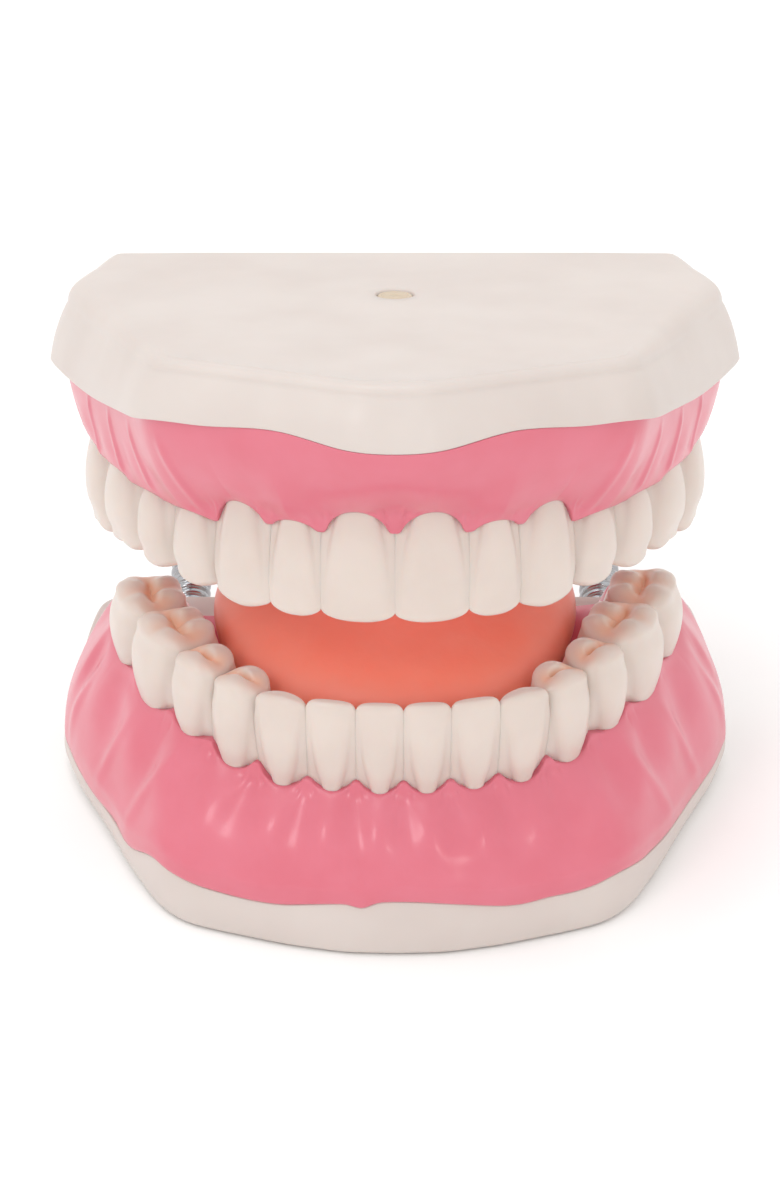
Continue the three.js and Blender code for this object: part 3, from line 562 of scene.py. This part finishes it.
def wall_distance(outline, at, way):
    """Distance from points to the outline along their directions."""
    a, b = outline, np.roll(outline, -1, 0)
    edge = b - a
    cross = way[:, None, 0] * edge[None, :, 1] - way[:, None, 1] * edge[None, :, 0]
    offset = a[None] - at[:, None]
    cross = np.where(np.abs(cross) < 1e-9, 1e-9, cross)
    along = (offset[..., 0] * edge[None, :, 1] - offset[..., 1] * edge[None, :, 0]) / cross
    share = (offset[..., 0] * way[:, None, 1] - offset[..., 1] * way[:, None, 0]) / cross
    hit = (along > 0) & (share >= -1e-6) & (share <= 1 + 1e-6)
    return np.where(hit, along, 0).max(axis=1)


def gum_edge(jaw, far, within, margin, tip, past):
    """Height of the scalloped edge, of the same edge without scallops, and the scallops alone.

    Over each tooth the edge is an arch, and between two teeth it runs out into a papilla.
    """
    last_tip = jaw["teeth"][-1]["tip"]
    heel_heights = [last_tip, jaw["heel_z"], jaw["heel_z"], jaw["heel_end_z"]]
    heel_z = through(HEEL_KEYS, heel_heights, past)
    scallop = 1 - (1 - np.minimum(np.abs(within) / ARCH_SHARE, 1) ** 2) ** ARCH_POWER
    scallop = np.convolve(scallop, SOFTENING, "same")
    bared = jaw["inward"] * jaw["bared"] * (1 - smoothstep(far, BARED_FROM, BARED_TO))
    edge = np.where(past > 0, heel_z, margin - bared + (tip - margin + bared) * scallop)
    places = [t["s"] for t in jaw["teeth"]] + [jaw["reach"]]
    margins = [t["margin"] for t in jaw["teeth"]] + [last_tip]
    straight = np.where(past > 0, heel_z, np.interp(far, places, margins) - bared)
    return edge, straight, scallop


def gum_stations(jaw):
    """What the section depends on, for each station from the right heel round to the left one."""
    end = jaw["reach"] + jaw["heel_length"]
    s = np.linspace(-end, end, GUM_STATIONS)
    far = np.abs(s)
    at, cheek = arch_station(jaw, s + jaw["slide"], GUM_SPAN)
    within, margin, tip, thick = tooth_tables(jaw, s)
    past = np.maximum(0, far - jaw["reach"]) / jaw["heel_length"]
    edge, straight, scallop = gum_edge(jaw, far, within, margin, tip, past)
    on_teeth = 1 - smoothstep(past, 0, HEEL_FADE)

    wall = wall_distance(jaw["rim"], at, cheek)
    inset = jaw["gum_inset"] * smoothstep(np.abs(at[:, 0]), INSET_FROM, INSET_TO)
    rim = at + cheek * wall[:, None]
    seam = seam_height(jaw, rim[:, 0], rim[:, 1])
    return SimpleNamespace(
        far=far, at=at, cheek=cheek, within=within, thick=thick, past=past, on_teeth=on_teeth,
        edge=edge, straight=straight, papilla=scallop * on_teeth, seam=seam, rise=edge - seam,
        foot_out=wall - inset + jaw["lip"],
    )


def gum_section(jaw, row):
    """The section at every station as (distance out to the cheek, height), foot to tongue side."""
    inward = jaw["inward"]
    crest = inward * (1 - row.past) * CREST_HEIGHT
    root = np.cos(math.pi * row.within) * row.on_teeth * jaw["root_bulge"]
    face_out = jaw["margin_out"] - jaw["papilla_back"] * row.papilla
    tongue_out = -row.thick - 0.5 + 1.6 * row.papilla

    def key(out, z):
        return np.stack([out + 0 * row.far, z + 0 * row.far], axis=-1)

    def face_key(share):
        """A key on the cheek side, from the seam (0) to the edge (1)."""
        z = row.seam + row.rise * share
        level = (z - row.seam) / (row.straight - row.seam)
        fall = 1 - np.clip(level, 0, 1) ** jaw["belly_power"]
        out = jaw["margin_out"] + (row.foot_out - jaw["margin_out"]) * fall
        out = out - jaw["papilla_back"] * row.on_teeth * smoothstep(level, 1.0, 1.2)
        return key(out + root * bell(level - ROOT_LEVEL, ROOT_REACH), z)

    keys = np.stack(
        [
            key(row.foot_out - jaw["groove"], row.seam + inward * 0.05),
            key(row.foot_out, row.seam + inward * 0.5),
            *[face_key(share) for share in FACE_SHARES],
            key(face_out, row.edge),
            key(face_out - 1.1, row.edge + crest * 0.2),
            key(-row.thick / 2, row.edge + crest),
            key(tongue_out + 1.1, row.edge + crest * 0.2),
            key(tongue_out + 0.2, row.edge + inward * 0.1),
            key(tongue_out - 0.4, row.edge - inward * 0.6),
            key(-row.thick - 2.3, row.edge - inward * 3.4),
            key(-row.thick - 4, row.seam + row.rise * 0.45),
        ],
        axis=1,
    )
    squeeze = np.sqrt(1 - 0.96 * row.past ** jaw["heel_blunt"])
    centre = -row.thick / 2
    keys[..., 0] = centre[:, None] + (keys[..., 0] - centre[:, None]) * squeeze[:, None]
    return spline_rows(keys, FACE_SAMPLES + CREST_SAMPLES)


def gum_plate(jaw, row, start):
    """From the tongue side in to the mid plane: the mouth's floor or the palate's vault."""
    front_y, rear_y = row.at[:, 1].min() + PLATE_FRONT, row.at[:, 1].max()
    far_keys = [0, jaw["reach"] * 0.5, row.far[0]]
    spine_y = np.interp(row.far, far_keys, [front_y, PLATE_MIDDLE_Y, rear_y])
    arched = smoothstep(spine_y, -30, -2)
    middle_z = jaw["plate_edge"] + (jaw["plate_middle"] - jaw["plate_edge"]) * arched
    share = np.linspace(0, 1, PLATE_ROWS + 1)[1:]
    x, y, z = (start[:, k, None] for k in range(3))
    x = x * (1 - share)
    y = y + (spine_y[:, None] - y) * share
    z = z + (middle_z[:, None] - z) * (1 - (1 - share) ** 2)
    z = z + jaw["inward"] * plate_relief(jaw, x, y)
    return np.stack([x, y, z], axis=-1)


def gum_underside(jaw, foot, spine):
    """From the foot on the cheek side in to the mid plane, just clear of the base."""
    shares = np.linspace(1, 0, UNDER_ROWS)[1:-1]
    columns = [foot + (spine - foot) * (1 - share) for share in shares]
    under = np.stack(columns + [spine], axis=1)
    under[..., 2] = seam_surface(jaw, under[..., 0], under[..., 1]) + jaw["inward"] * 0.1
    return under


def make_gum(jaw):
    row = gum_stations(jaw)
    section = gum_section(jaw, row)
    xy = row.at[:, None] + row.cheek[:, None] * section[..., :1]
    ridge = np.concatenate([xy, section[..., 1:]], axis=-1)
    plate = gum_plate(jaw, row, ridge[:, -1])
    under = gum_underside(jaw, ridge[:, 0], plate[:, -1])
    top = np.concatenate([ridge, plate], axis=1)

    # The plate and the foot of the tongue side stay on the mouth's side of the base.
    inner = top[:, -PLATE_ROWS - TUCKED_ROWS :]
    least = seam_surface(jaw, inner[..., 0], inner[..., 1]) + jaw["inward"] * 0.5
    further = np.maximum if jaw["inward"] > 0 else np.minimum
    inner[..., 2] = further(inner[..., 2], least)

    # Relief of the cheek side, out along the way to the cheek and dying out towards the edge.
    face = top[:, : sum(FACE_SAMPLES)]
    share = np.clip((face[..., 2] - row.seam[:, None]) / row.rise[:, None], 0, 1)
    fade = (1 - smoothstep(share, 0.86, 0.98)) * row.on_teeth[:, None]
    relief = gum_relief(jaw, row.far[:, None], share, row.within[:, None], face) * fade
    face[..., :2] += row.cheek[:, None] * relief[..., None]

    # Both heels are closed by one flat face across the rear, as the loops meet on the mid plane.
    loop = np.concatenate([under[:, ::-1], top], axis=1)
    rows, columns = loop.shape[:2]
    faces = grid_faces(rows, columns, closed=False)
    last = (rows - 1) * columns
    faces.append(list(range(columns)) + list(range(last, last + columns))[::-1])
    name = jaw["name"] + "_gum"
    return make_piece(name + "_cover", loop, faces, "gum", jaw, name, weld=0.02)


def plate_relief(jaw, x, y):
    """Towards the mouth: the palate's middle line and the cross folds behind the incisors."""
    if jaw is LOWER:
        return 0.35 * waves(x, y, 0 * x, 22, seed=3)
    zone = smoothstep(y, -30, -22) * (1 - smoothstep(y, -4, 4)) * smoothstep(np.abs(x), 1.5, 5)
    zone = zone * (1 - smoothstep(np.abs(x), 20, 28))
    folds = np.sin((y + 0.25 * np.abs(x) + 1.2 * np.sin(np.abs(x) * 0.35)) * 2 * math.pi / 5.2)
    return 0.55 * bell(x, 1.1) * smoothstep(y, -32, -26) + 0.6 * folds * zone


LOWER_FOLDS = [(47.0, 10.0), (62.0, 8.0), (80.0, 4.0)]  # distance along the row, and its lean
UPPER_CREASES = [37.0, 49.5, 61.0, 73.5]


def gum_relief(jaw, far, share, within, shape):
    """How far the cheek side stands out of its smooth section, in millimetres."""
    x, y, z = shape[..., 0], shape[..., 1], shape[..., 2]
    if jaw is LOWER:
        dimple = -0.35 * bell(np.abs(within) - 1, 0.5) * bell(share - 0.72, 0.16)
        band = 0.45 * bell(share - 0.2, 0.09) * (1 - smoothstep(far, 60, 80))
        band = band + 0.3 * waves(x, y, z, 24, seed=8)
        folds = 0.0
        for place, lean in LOWER_FOLDS:
            across = far - place - lean * (0.5 - share)
            folds = folds + 0.55 * bell(across, 1.5) * bell(share - 0.5, 0.3)
        return dimple + band + folds + 0.5 * waves(x, y, z, 24, seed=5)
    creases = 0.0
    for place in UPPER_CREASES:
        creases = creases + 0.4 * bell(far - place, 0.9) * smoothstep(share, 0.1, 0.35)
    return creases + 0.1 * waves(x, y, z, 16, seed=9)


# ---- Bases ----
PLUG_HOLE_RADIUS = 3.4
PLUG_HOLE_DEPTH = 4.0
PLUG_HOLE_BEVEL = 0.3
EDGE_BEAD = ((1.2, 0.0), (0.8, 0.5), (0.5, 1.0), (0.2, 0.5))  # distance back, share of its height


def base_ring(xy, z):
    """A closed row of points; z is one height, or one per point."""
    heights = np.broadcast_to(np.reshape(z, (-1, 1)), (len(xy), 1))
    return np.concatenate([xy, heights], axis=1)


def base_face(jaw, radius):
    """Rows of the flat face, from the floor of the plug's hole out to the rounded edge."""
    ring, normal = jaw["ring"], jaw["normals"]
    inward, face_z = jaw["inward"], jaw["face_z"]
    hub = np.array([0, SCREW_Y])
    away = ring - hub
    hole = hub + away / np.linalg.norm(away, axis=1, keepdims=True) * PLUG_HOLE_RADIUS
    floor_z = face_z + inward * PLUG_HOLE_DEPTH
    rows = [base_ring(hub + (hole - hub) * share, floor_z) for share in (0.3, 1.0)]
    rows.append(base_ring(hole, face_z + inward * PLUG_HOLE_BEVEL))
    start = hub + (hole - hub) * 1.08
    inner = ring - normal * radius[:, None]
    for share in (0.0, 0.04, 0.15, 0.3, 0.5, 0.7, 0.85):
        rows.append(base_ring(start + (inner - start) * share, face_z))
    bead = jaw["bead"] * (1 - smoothstep(ring[:, 1], -34, -22))
    for back, share in EDGE_BEAD:
        rows.append(base_ring(inner - normal * back, face_z - inward * bead * share))
    return rows


def base_wall(jaw, radius):
    """Rows of the rounded edge, the flared wall, the wavy rim and the hidden side by the gum."""
    ring, normal, rim, rim_radius = jaw["ring"], jaw["normals"], jaw["rim"], jaw["rim_radius"]
    inward, face_z = jaw["inward"], jaw["face_z"]
    seam = seam_height(jaw, rim[:, 0], rim[:, 1])
    rows = []
    for phi in np.linspace(0, math.pi / 2, 9):
        out = radius[:, None] * (1 - math.sin(phi))
        rows.append(base_ring(ring - normal * out, face_z + inward * radius * (1 - math.cos(phi))))
    wall_foot = face_z + inward * radius
    for share in np.linspace(0, 1, 14)[1:-1]:
        out = jaw["flare"] * share ** 0.85 + 0.35 * math.sin(math.pi * share)
        z = wall_foot + (seam - inward * rim_radius - wall_foot) * share
        rows.append(base_ring(ring + normal * out, z))
    for phi in np.linspace(0, math.pi / 2, 6):
        out = rim_radius * (1 - math.cos(phi))
        rows.append(base_ring(rim - normal * out, seam - inward * rim_radius * (1 - math.sin(phi))))
    last = rim - normal * rim_radius
    for share in (0.97, 0.9, 0.75, 0.5, 0.2):
        rows.append(base_ring(last * share, jaw["middle_z"] + (seam - jaw["middle_z"]) * share))
    return rows


def make_base(jaw):
    """Plinth: flat face with the plug's hole, rounded edge, flared wall and wavy rim."""
    ring = jaw["ring"]
    spread = 0.6 + 0.7 * smoothstep(np.abs(ring[:, 0]), 34, 52)  # the edge is rounder at the sides
    radius = softened(jaw["edge_radius"] * spread, ring)
    points = np.array(base_face(jaw, radius) + base_wall(jaw, radius))
    name = jaw["name"] + "_base"
    faces = capped_grid(*points.shape[:2])
    return make_piece(name + "_shell", points, faces, "ivory", jaw, name)


# ---- Tongue ----
# Cross-sections from tip to root: y, half width, top, widest line and underside.
TONGUE_SECTIONS = np.array([
    (-28.9, 1, 37, 35.2, 34), (-28.5, 6, 39, 35, 31), (-26.5, 13, 42, 35, 28.5),
    (-22, 20.5, 45, 35.5, 24.5), (-14, 26.5, 47.2, 36.5, 23), (-4, 30, 48.4, 37.5, 23),
    (8, 32, 49, 38, 23), (20, 31.5, 48, 37.5, 23), (30, 28, 45, 36, 23), (35, 21, 41, 34, 25),
    (36.5, 14, 38, 33, 28), (37, 3, 35, 32.5, 31),
])


def make_tongue():
    sides, rows = 96, 90
    key = np.arange(len(TONGUE_SECTIONS), dtype=float)
    at = np.linspace(0, key[-1], rows)
    y, half, top, wide, under = (through(key, TONGUE_SECTIONS[:, k], at)[:, None] for k in range(5))
    angle = np.arange(sides) / sides * 2 * math.pi
    rise, run = np.sin(angle)[None], np.cos(angle)[None]
    tuck = np.where(rise < 0, 1 + 0.22 * rise * np.abs(run) ** 0.5, 1)
    x = half * 1.03 * signed_power(run, 0.85) * tuck
    z = wide + rise * np.where(rise > 0, top - wide, wide - under)
    groove = 0.9 * bell(x, 2.6) * smoothstep(y, -20, -6) * (1 - smoothstep(y, 20, 32)) * (rise > 0)
    z = z - groove + 0.18 * waves(x, y + 0 * x, z, 12, seed=21) * (rise > -0.3)
    points = np.stack([x, y + 0 * x, z], axis=-1)
    return make_piece("tongue_body", points, capped_grid(rows, sides), "tongue", LOWER, "tongue")


# ---- Goosenecks, ferrules and plugs ----
COIL_PITCH = 2.0
COIL_SAMPLES = 8  # rows per turn
COIL_SIDES = 32
COIL_DEPTH = 0.95
TANGENT_REACH = 0.5  # half length over which the coil's direction is taken
SEAT_DEPTH = 8.0  # how far the ends sit inside the bases
TURNED_SIDES = 64


def neck_path(side):
    """Points along a gooseneck from seat to seat, and where it leaves the two ferrules."""
    places = []
    for jaw in (LOWER, UPPER):
        for y in (REAR_Y - SEAT_DEPTH, REAR_Y + FERRULE_PROUD):
            place = np.array([side * NECK_X, y, jaw["neck_z"]])
            places.append(opened(place) if jaw is UPPER else place)
    low_seat, low_mouth, high_seat, high_mouth = places
    back_high = (high_mouth - high_seat) / np.linalg.norm(high_mouth - high_seat)
    handle_low = low_mouth + [0, NECK_HANDLE, 0]
    handle_high = high_mouth + back_high * NECK_HANDLE
    t = np.linspace(0, 1, 400)[:, None]
    bend = low_mouth * (1 - t) ** 3 + 3 * handle_low * t * (1 - t) ** 2
    bend = bend + 3 * handle_high * t * t * (1 - t) + high_mouth * t ** 3
    return np.concatenate([[low_seat], bend, [high_seat]]), low_mouth, high_mouth


def coil_faces(rows):
    """Quads of a winding: the last column of a turn is joined to the first one of the next."""
    faces = []
    for r in range(rows):
        start = r * COIL_SIDES
        for here in range(start, start + COIL_SIDES - 1):
            faces.append([here, here + 1, here + 1 + COIL_SIDES, here + COIL_SIDES])
        if r + COIL_SAMPLES + 1 <= rows:
            here = start + COIL_SIDES - 1
            first = start + COIL_SAMPLES * COIL_SIDES
            faces.append([here, first, first + COIL_SIDES, here + COIL_SIDES])
    return faces


def coil_caps(rows):
    """Fans that close both ends, each a step of one turn; their hubs follow the other points."""
    last = rows * COIL_SIDES
    low_end = list(range(COIL_SIDES)) + [r * COIL_SIDES for r in range(COIL_SAMPLES, 0, -1)]
    high_end = [last + c for c in range(COIL_SIDES)]
    high_end += [last + COIL_SIDES - 1 - r * COIL_SIDES for r in range(1, COIL_SAMPLES + 1)]
    hub = (rows + 1) * COIL_SIDES
    return fan(hub, low_end) + fan(hub + 1, high_end)


def make_gooseneck(side, name):
    """A close-wound coil: a helical groove runs round the tube, one turn per pitch."""
    path, low_mouth, high_mouth = neck_path(side)
    s = distance_along(path)

    def on_path(at):
        return np.stack([np.interp(at, s, path[:, k]) for k in range(3)], axis=-1)

    rows = (int(s[-1] / COIL_PITCH) - 1) * COIL_SAMPLES
    turn = np.arange(rows + 1)[:, None] / COIL_SAMPLES
    around = np.arange(COIL_SIDES)[None] / COIL_SIDES
    at = (turn + around) * COIL_PITCH
    phase = (turn % 1.0) + 0 * around
    wire = np.sqrt(np.clip(1 - (2 * phase - 1) ** 2, 0, 1))
    radius = NECK_RADIUS - COIL_DEPTH * (1 - wire)
    tangent = on_path(at + TANGENT_REACH) - on_path(at - TANGENT_REACH)
    tangent /= np.linalg.norm(tangent, axis=-1, keepdims=True)
    side_way = np.array([1.0, 0, 0])
    up_way = np.cross(tangent, side_way)
    angle = around[..., None] * 2 * math.pi
    coil = on_path(at) + radius[..., None] * (np.cos(angle) * side_way + np.sin(angle) * up_way)
    hubs = on_path(np.array([COIL_PITCH / 2, at.max() - COIL_PITCH / 2]))
    points = np.concatenate([coil.reshape(-1, 3), hubs])
    faces = coil_faces(rows) + coil_caps(rows)
    piece = make_piece(name + "_coil", points, faces, "coil", None, name, weld=0.001)
    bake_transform(piece)
    return piece


def make_turned(name, profile, centre, axis, kind, jaw, node, crease):
    """A solid of revolution; profile is a closed list of (radius, distance along the axis)."""
    centre, axis, profile = (np.array(v, float) for v in (centre, axis, profile))
    side = np.array([1.0, 0, 0])
    other = np.cross(axis, side)
    angle = np.arange(TURNED_SIDES) / TURNED_SIDES * 2 * math.pi
    wheel = np.cos(angle)[:, None] * side + np.sin(angle)[:, None] * other
    points = centre + profile[:, None, :1] * wheel[None] + profile[:, None, 1:] * axis
    faces = grid_faces(*points.shape[:2], closed=True)
    sharp = math.radians(crease)
    return make_piece(name, points, faces, kind, jaw, node, weld=0.001, sharp=sharp)


def make_ferrule(jaw, side, side_name):
    """A turned sleeve with a rounded lip and two grip grooves round the part that shows."""
    outer, bore, length, lip, bevel = 5.0, 4.12, 11.0, 0.3, 0.15
    depth, half_top, half_floor = 0.25, 0.2, 0.08  # of a grip groove
    profile = [(bore, 0), (outer, 0)]
    for at in (9.35, 10.15):
        profile += [(outer, at - half_top), (outer - depth, at - half_floor)]
        profile += [(outer - depth, at + half_floor), (outer, at + half_top)]
    for phi in np.linspace(0, math.pi / 2, 5):
        profile.append((outer - lip * (1 - math.cos(phi)), length - lip * (1 - math.sin(phi))))
    profile += [(bore + bevel, length), (bore, length - bevel), (bore, 0)]
    name = f"{jaw['name']}_{side_name}_ferrule"
    start = REAR_Y - (length - FERRULE_PROUD)
    centre = (side * NECK_X, start, jaw["neck_z"])
    return make_turned(name + "_sleeve", profile, centre, (0, 1, 0), "steel", jaw, name, crease=40)


def make_plug(jaw):
    """A push-in plug with a softened edge, a shallow ring round it and a faint moulding dot."""
    radius, sunk, depth, edge = 3.1, 0.25, 1.6, 0.3
    profile = [(0, sunk + 0.12), (0.45, sunk + 0.12), (0.6, sunk), (radius - 0.9, sunk)]
    profile += [(radius - 0.75, sunk + 0.1), (radius - 0.6, sunk)]
    for phi in np.linspace(0, math.pi / 2, 5):
        profile.append((radius - edge * (1 - math.sin(phi)), sunk + edge * (1 - math.cos(phi))))
    profile += [(radius, sunk + depth), (0, sunk + depth)]
    name = jaw["name"] + "_plug"
    centre, axis = (0, SCREW_Y, jaw["face_z"]), (0, 0, jaw["inward"])
    return make_turned(name + "_cap", profile, centre, axis, "plug", jaw, name, crease=50)


# ---- Materials ----
def new_material(name):
    material = bpy.data.materials.new(name)
    material.use_nodes = True
    return material


def fill(node, **values):
    """Sets or joins a node's inputs; a space in an input's name is written as _."""
    for name, value in values.items():
        socket = node.inputs[name.replace("_", " ")]
        if isinstance(value, bpy.types.NodeSocket):
            node.id_data.links.new(value, socket)
        else:
            socket.default_value = value


def add_node(tree, kind, output, **values):
    node = tree.nodes.new("ShaderNode" + kind)
    fill(node, **values)
    return node.outputs[output]


def noise(tree, size, detail=3):
    """Noise between 0 and 1 with patches of about that size in metres."""
    place = add_node(tree, "TexCoord", "Object")
    return add_node(tree, "TexNoise", "Fac", Vector=place, Scale=1 / size, Detail=detail)


def mix(tree, factor, a, b):
    node = tree.nodes.new("ShaderNodeMix")
    node.data_type = "RGBA"
    fill(node, Factor=factor, A=a, B=b)
    return node.outputs["Result"]


def spread(tree, value, low, high, new_low=0, new_high=1):
    """The value with low..high carried to new_low..new_high, level beyond both."""
    span = dict(From_Min=low, From_Max=high, To_Min=new_low, To_Max=new_high)
    return add_node(tree, "MapRange", "Result", Value=value, **span)


def bump(tree, height, strength, depth):
    return add_node(tree, "Bump", "Normal", Height=height, Strength=strength, Distance=depth)


def plastic(name, colour, accent, rough, coat, subsurface, mottle, grain, bumps, painted_pit_shade=None):
    """Moulded plastic: mottled colour, fine surface grain and soft light inside.

    colour and accent are the two ends of the mottling, mottle its size and grain that of the
    surface unevenness in metres, bumps its strength; the last argument is a painted shade
    colour, laid on where the shade attribute is 1.
    """
    material = new_material(name)
    tree = material.node_tree
    patches = spread(tree, noise(tree, mottle), 0.35, 0.65)
    mottled = mix(tree, patches, (*colour, 1), (*accent, 1))
    if painted_pit_shade:
        # Painted shade: where the shade attribute is 1 the colour turns to the darker, warmer pit
        # colour, standing in for shade and the tongue's reflected light in the pits and grooves.
        attribute = tree.nodes.new("ShaderNodeAttribute")
        attribute.attribute_name = "shade"
        mottled = mix(tree, attribute.outputs["Fac"], mottled, (*painted_pit_shade, 1))
    fill(
        tree.nodes["Principled BSDF"],
        Base_Color=mottled,
        Roughness=spread(tree, noise(tree, mottle * 0.4), 0.3, 0.7, rough * 0.93, rough * 1.07),
        Coat_Weight=coat,
        Coat_Roughness=0.18,
        Subsurface_Weight=subsurface,
        Subsurface_Radius=(1.0, 0.45, 0.3),
        Subsurface_Scale=0.001,
        Normal=bump(tree, noise(tree, grain, detail=4), bumps, depth=0.0003),
    )
    return material


def metal(name, colour, rough, streak):
    """Plated metal: slightly uneven gloss and fine turning marks of that size in metres."""
    material = new_material(name)
    tree = material.node_tree
    marks = noise(tree, streak, detail=2)
    dull = tuple(c * 0.82 for c in colour)
    fill(
        tree.nodes["Principled BSDF"],
        Metallic=1.0,
        Base_Color=mix(tree, spread(tree, marks, 0.3, 0.7), (*dull, 1), (*colour, 1)),
        Roughness=spread(tree, marks, 0, 1, rough * 0.7, rough * 1.4),
        Normal=bump(tree, marks, 0.15, depth=0.0001),
    )
    return material


SLOTS = dict(
    ivory="ivory_resin", tooth="tooth_resin", gum="gum_vinyl", tongue="tongue_vinyl",
    plug="plug_plastic", steel="steel", coil="gooseneck_metal",
)
LOOKS = dict(
    ivory=dict(
        colour=(0.635, 0.575, 0.54), accent=(0.605, 0.54, 0.505), rough=0.42, coat=0.1,
        subsurface=0.1, mottle=0.02, grain=0.004, bumps=0.08,
    ),
    # The teeth's last colour is painted shade, warmed as if by the tongue's reflected light, for
    # their pits and grooves.
    tooth=dict(
        colour=(0.68, 0.60, 0.545), accent=(0.655, 0.57, 0.515), rough=0.4, coat=0.3,
        subsurface=0.3, mottle=0.01, grain=0.003, bumps=0.05, painted_pit_shade=(0.80, 0.45, 0.30),
    ),
    gum=dict(
        colour=(0.645, 0.135, 0.19), accent=(0.665, 0.155, 0.215), rough=0.4, coat=0.5,
        subsurface=0.12, mottle=0.012, grain=0.004, bumps=0.03,
    ),
    tongue=dict(
        colour=(0.98, 0.25, 0.17), accent=(0.98, 0.28, 0.20), rough=0.45, coat=0.05,
        subsurface=0.4, mottle=0.012, grain=0.0015, bumps=0.12,
    ),
    plug=dict(
        colour=(0.60, 0.50, 0.38), accent=(0.56, 0.46, 0.34), rough=0.5, coat=0.0,
        subsurface=0.1, mottle=0.004, grain=0.001, bumps=0.1,
    ),
)
MATERIALS = {kind: plastic(SLOTS[kind], **look) for kind, look in LOOKS.items()}
MATERIALS["steel"] = metal(SLOTS["steel"], colour=(0.60, 0.61, 0.63), rough=0.25, streak=0.002)
MATERIALS["coil"] = metal(SLOTS["coil"], colour=(0.46, 0.47, 0.49), rough=0.2, streak=0.003)


# ---- Build ----
def finish_screw(jaw):
    """The screw is hidden, so the CAD solid is kept as it is and given the steel look."""
    screw = frame["nodes"][jaw["name"] + "_screw"]
    screw.data.materials.clear()
    screw.data.materials.append(MATERIALS["steel"])


for jaw in (LOWER, UPPER):
    set_up(jaw)
    make_base(jaw)
    make_gum(jaw)
    make_plug(jaw)
    for side, side_name in ((1, "left"), (-1, "right")):
        make_ferrule(jaw, side, side_name)
        for tooth, tooth_name in zip(jaw["teeth"], TOOTH_NAMES):
            make_tooth(tooth, jaw, side, f"{jaw['name']}_{side_name}_{tooth_name}")
    finish_screw(jaw)
make_tongue()
for side, side_name in ((1, "left"), (-1, "right")):
    make_gooseneck(side, side_name + "_gooseneck")


# ---- Floor, light and camera ----
def make_floor():
    """A plain pale floor, a hair below the base so that the two don't touch."""
    material = new_material("studio_floor")
    shader = material.node_tree.nodes["Principled BSDF"]
    fill(shader, Base_Color=(0.97, 0.97, 0.97, 1), Roughness=0.9)
    mesh = bpy.data.meshes.new("studio_floor")
    half, z = 6.0, -0.0002
    corners = [(-half, -half, z), (half, -half, z), (half, half, z), (-half, half, z)]
    mesh.from_pydata(corners, [], [(0, 1, 2, 3)])
    mesh.materials.append(material)
    add_object("studio_floor", mesh)


SUBJECT = (0, 0, 0.05)


def make_light(name, place, size, power, colour, target=SUBJECT, hidden=False):
    """A round soft light; a hidden one lights the object but isn't seen or mirrored itself."""
    light = bpy.data.lights.new(name, "AREA")
    light.shape = "DISK"
    light.size = size
    light.energy = power
    light.color = colour
    holder = add_object(name, light)
    holder.location = place
    holder.rotation_euler = (Vector(target) - Vector(place)).to_track_quat("-Z", "Y").to_euler()
    holder.visible_camera = not hidden
    holder.visible_glossy = not hidden


CAMERA_ELEVATION = math.radians(28.9)
CAMERA_DISTANCE = 0.735
LOOK_AT = Vector((0, 0, 0.046))
FOCAL_PIXELS = 4095
IMAGE_LONG_SIDE = 1196
CENTRE_SHIFT_PIXELS = 5


def make_camera():
    camera = bpy.data.cameras.new("camera")
    camera.sensor_width = 36
    camera.lens = FOCAL_PIXELS / IMAGE_LONG_SIDE * camera.sensor_width
    camera.shift_x = -CENTRE_SHIFT_PIXELS / IMAGE_LONG_SIDE
    camera.clip_start, camera.clip_end = 0.05, 20
    holder = add_object("camera", camera)
    back = Vector((0, -math.cos(CAMERA_ELEVATION), math.sin(CAMERA_ELEVATION)))
    holder.location = LOOK_AT + back * CAMERA_DISTANCE
    holder.rotation_euler = (-back).to_track_quat("-Z", "Y").to_euler()
    bpy.context.scene.camera = holder


def make_world():
    """A white tent: brighter and cooler from above, a little warmer and dimmer from the sides."""
    world = bpy.data.worlds.new("studio")
    world.use_nodes = True
    tree = world.node_tree
    way = add_node(tree, "TexCoord", "Generated")
    rise = add_node(tree, "SeparateXYZ", "Z", Vector=way)
    colour = mix(tree, spread(tree, rise, 0, 0.9), (0.97, 0.91, 0.87, 1), (1, 1, 1, 1))
    fill(tree.nodes["Background"], Color=colour, Strength=1.07)
    bpy.context.scene.world = world


make_floor()
make_world()
make_light("overhead", (-0.25, -0.05, 1.3), size=0.7, power=2.8, colour=(0.98, 0.99, 1.0))
make_light("key", (-0.55, -0.75, 0.85), size=0.3, power=1.3, colour=(0.98, 0.99, 1.0))
make_light("fill", (0.45, -0.95, 0.6), size=0.14, power=0.45, colour=(1.0, 0.95, 0.9))
make_light(
    "mouth", (0, -0.006, 0.0715), size=0.044, power=0.0036, colour=(1.0, 0.93, 0.9),
    target=(0, -0.008, 0.04), hidden=True,
)
make_camera()
bpy.context.scene.view_settings.view_transform = "Standard"
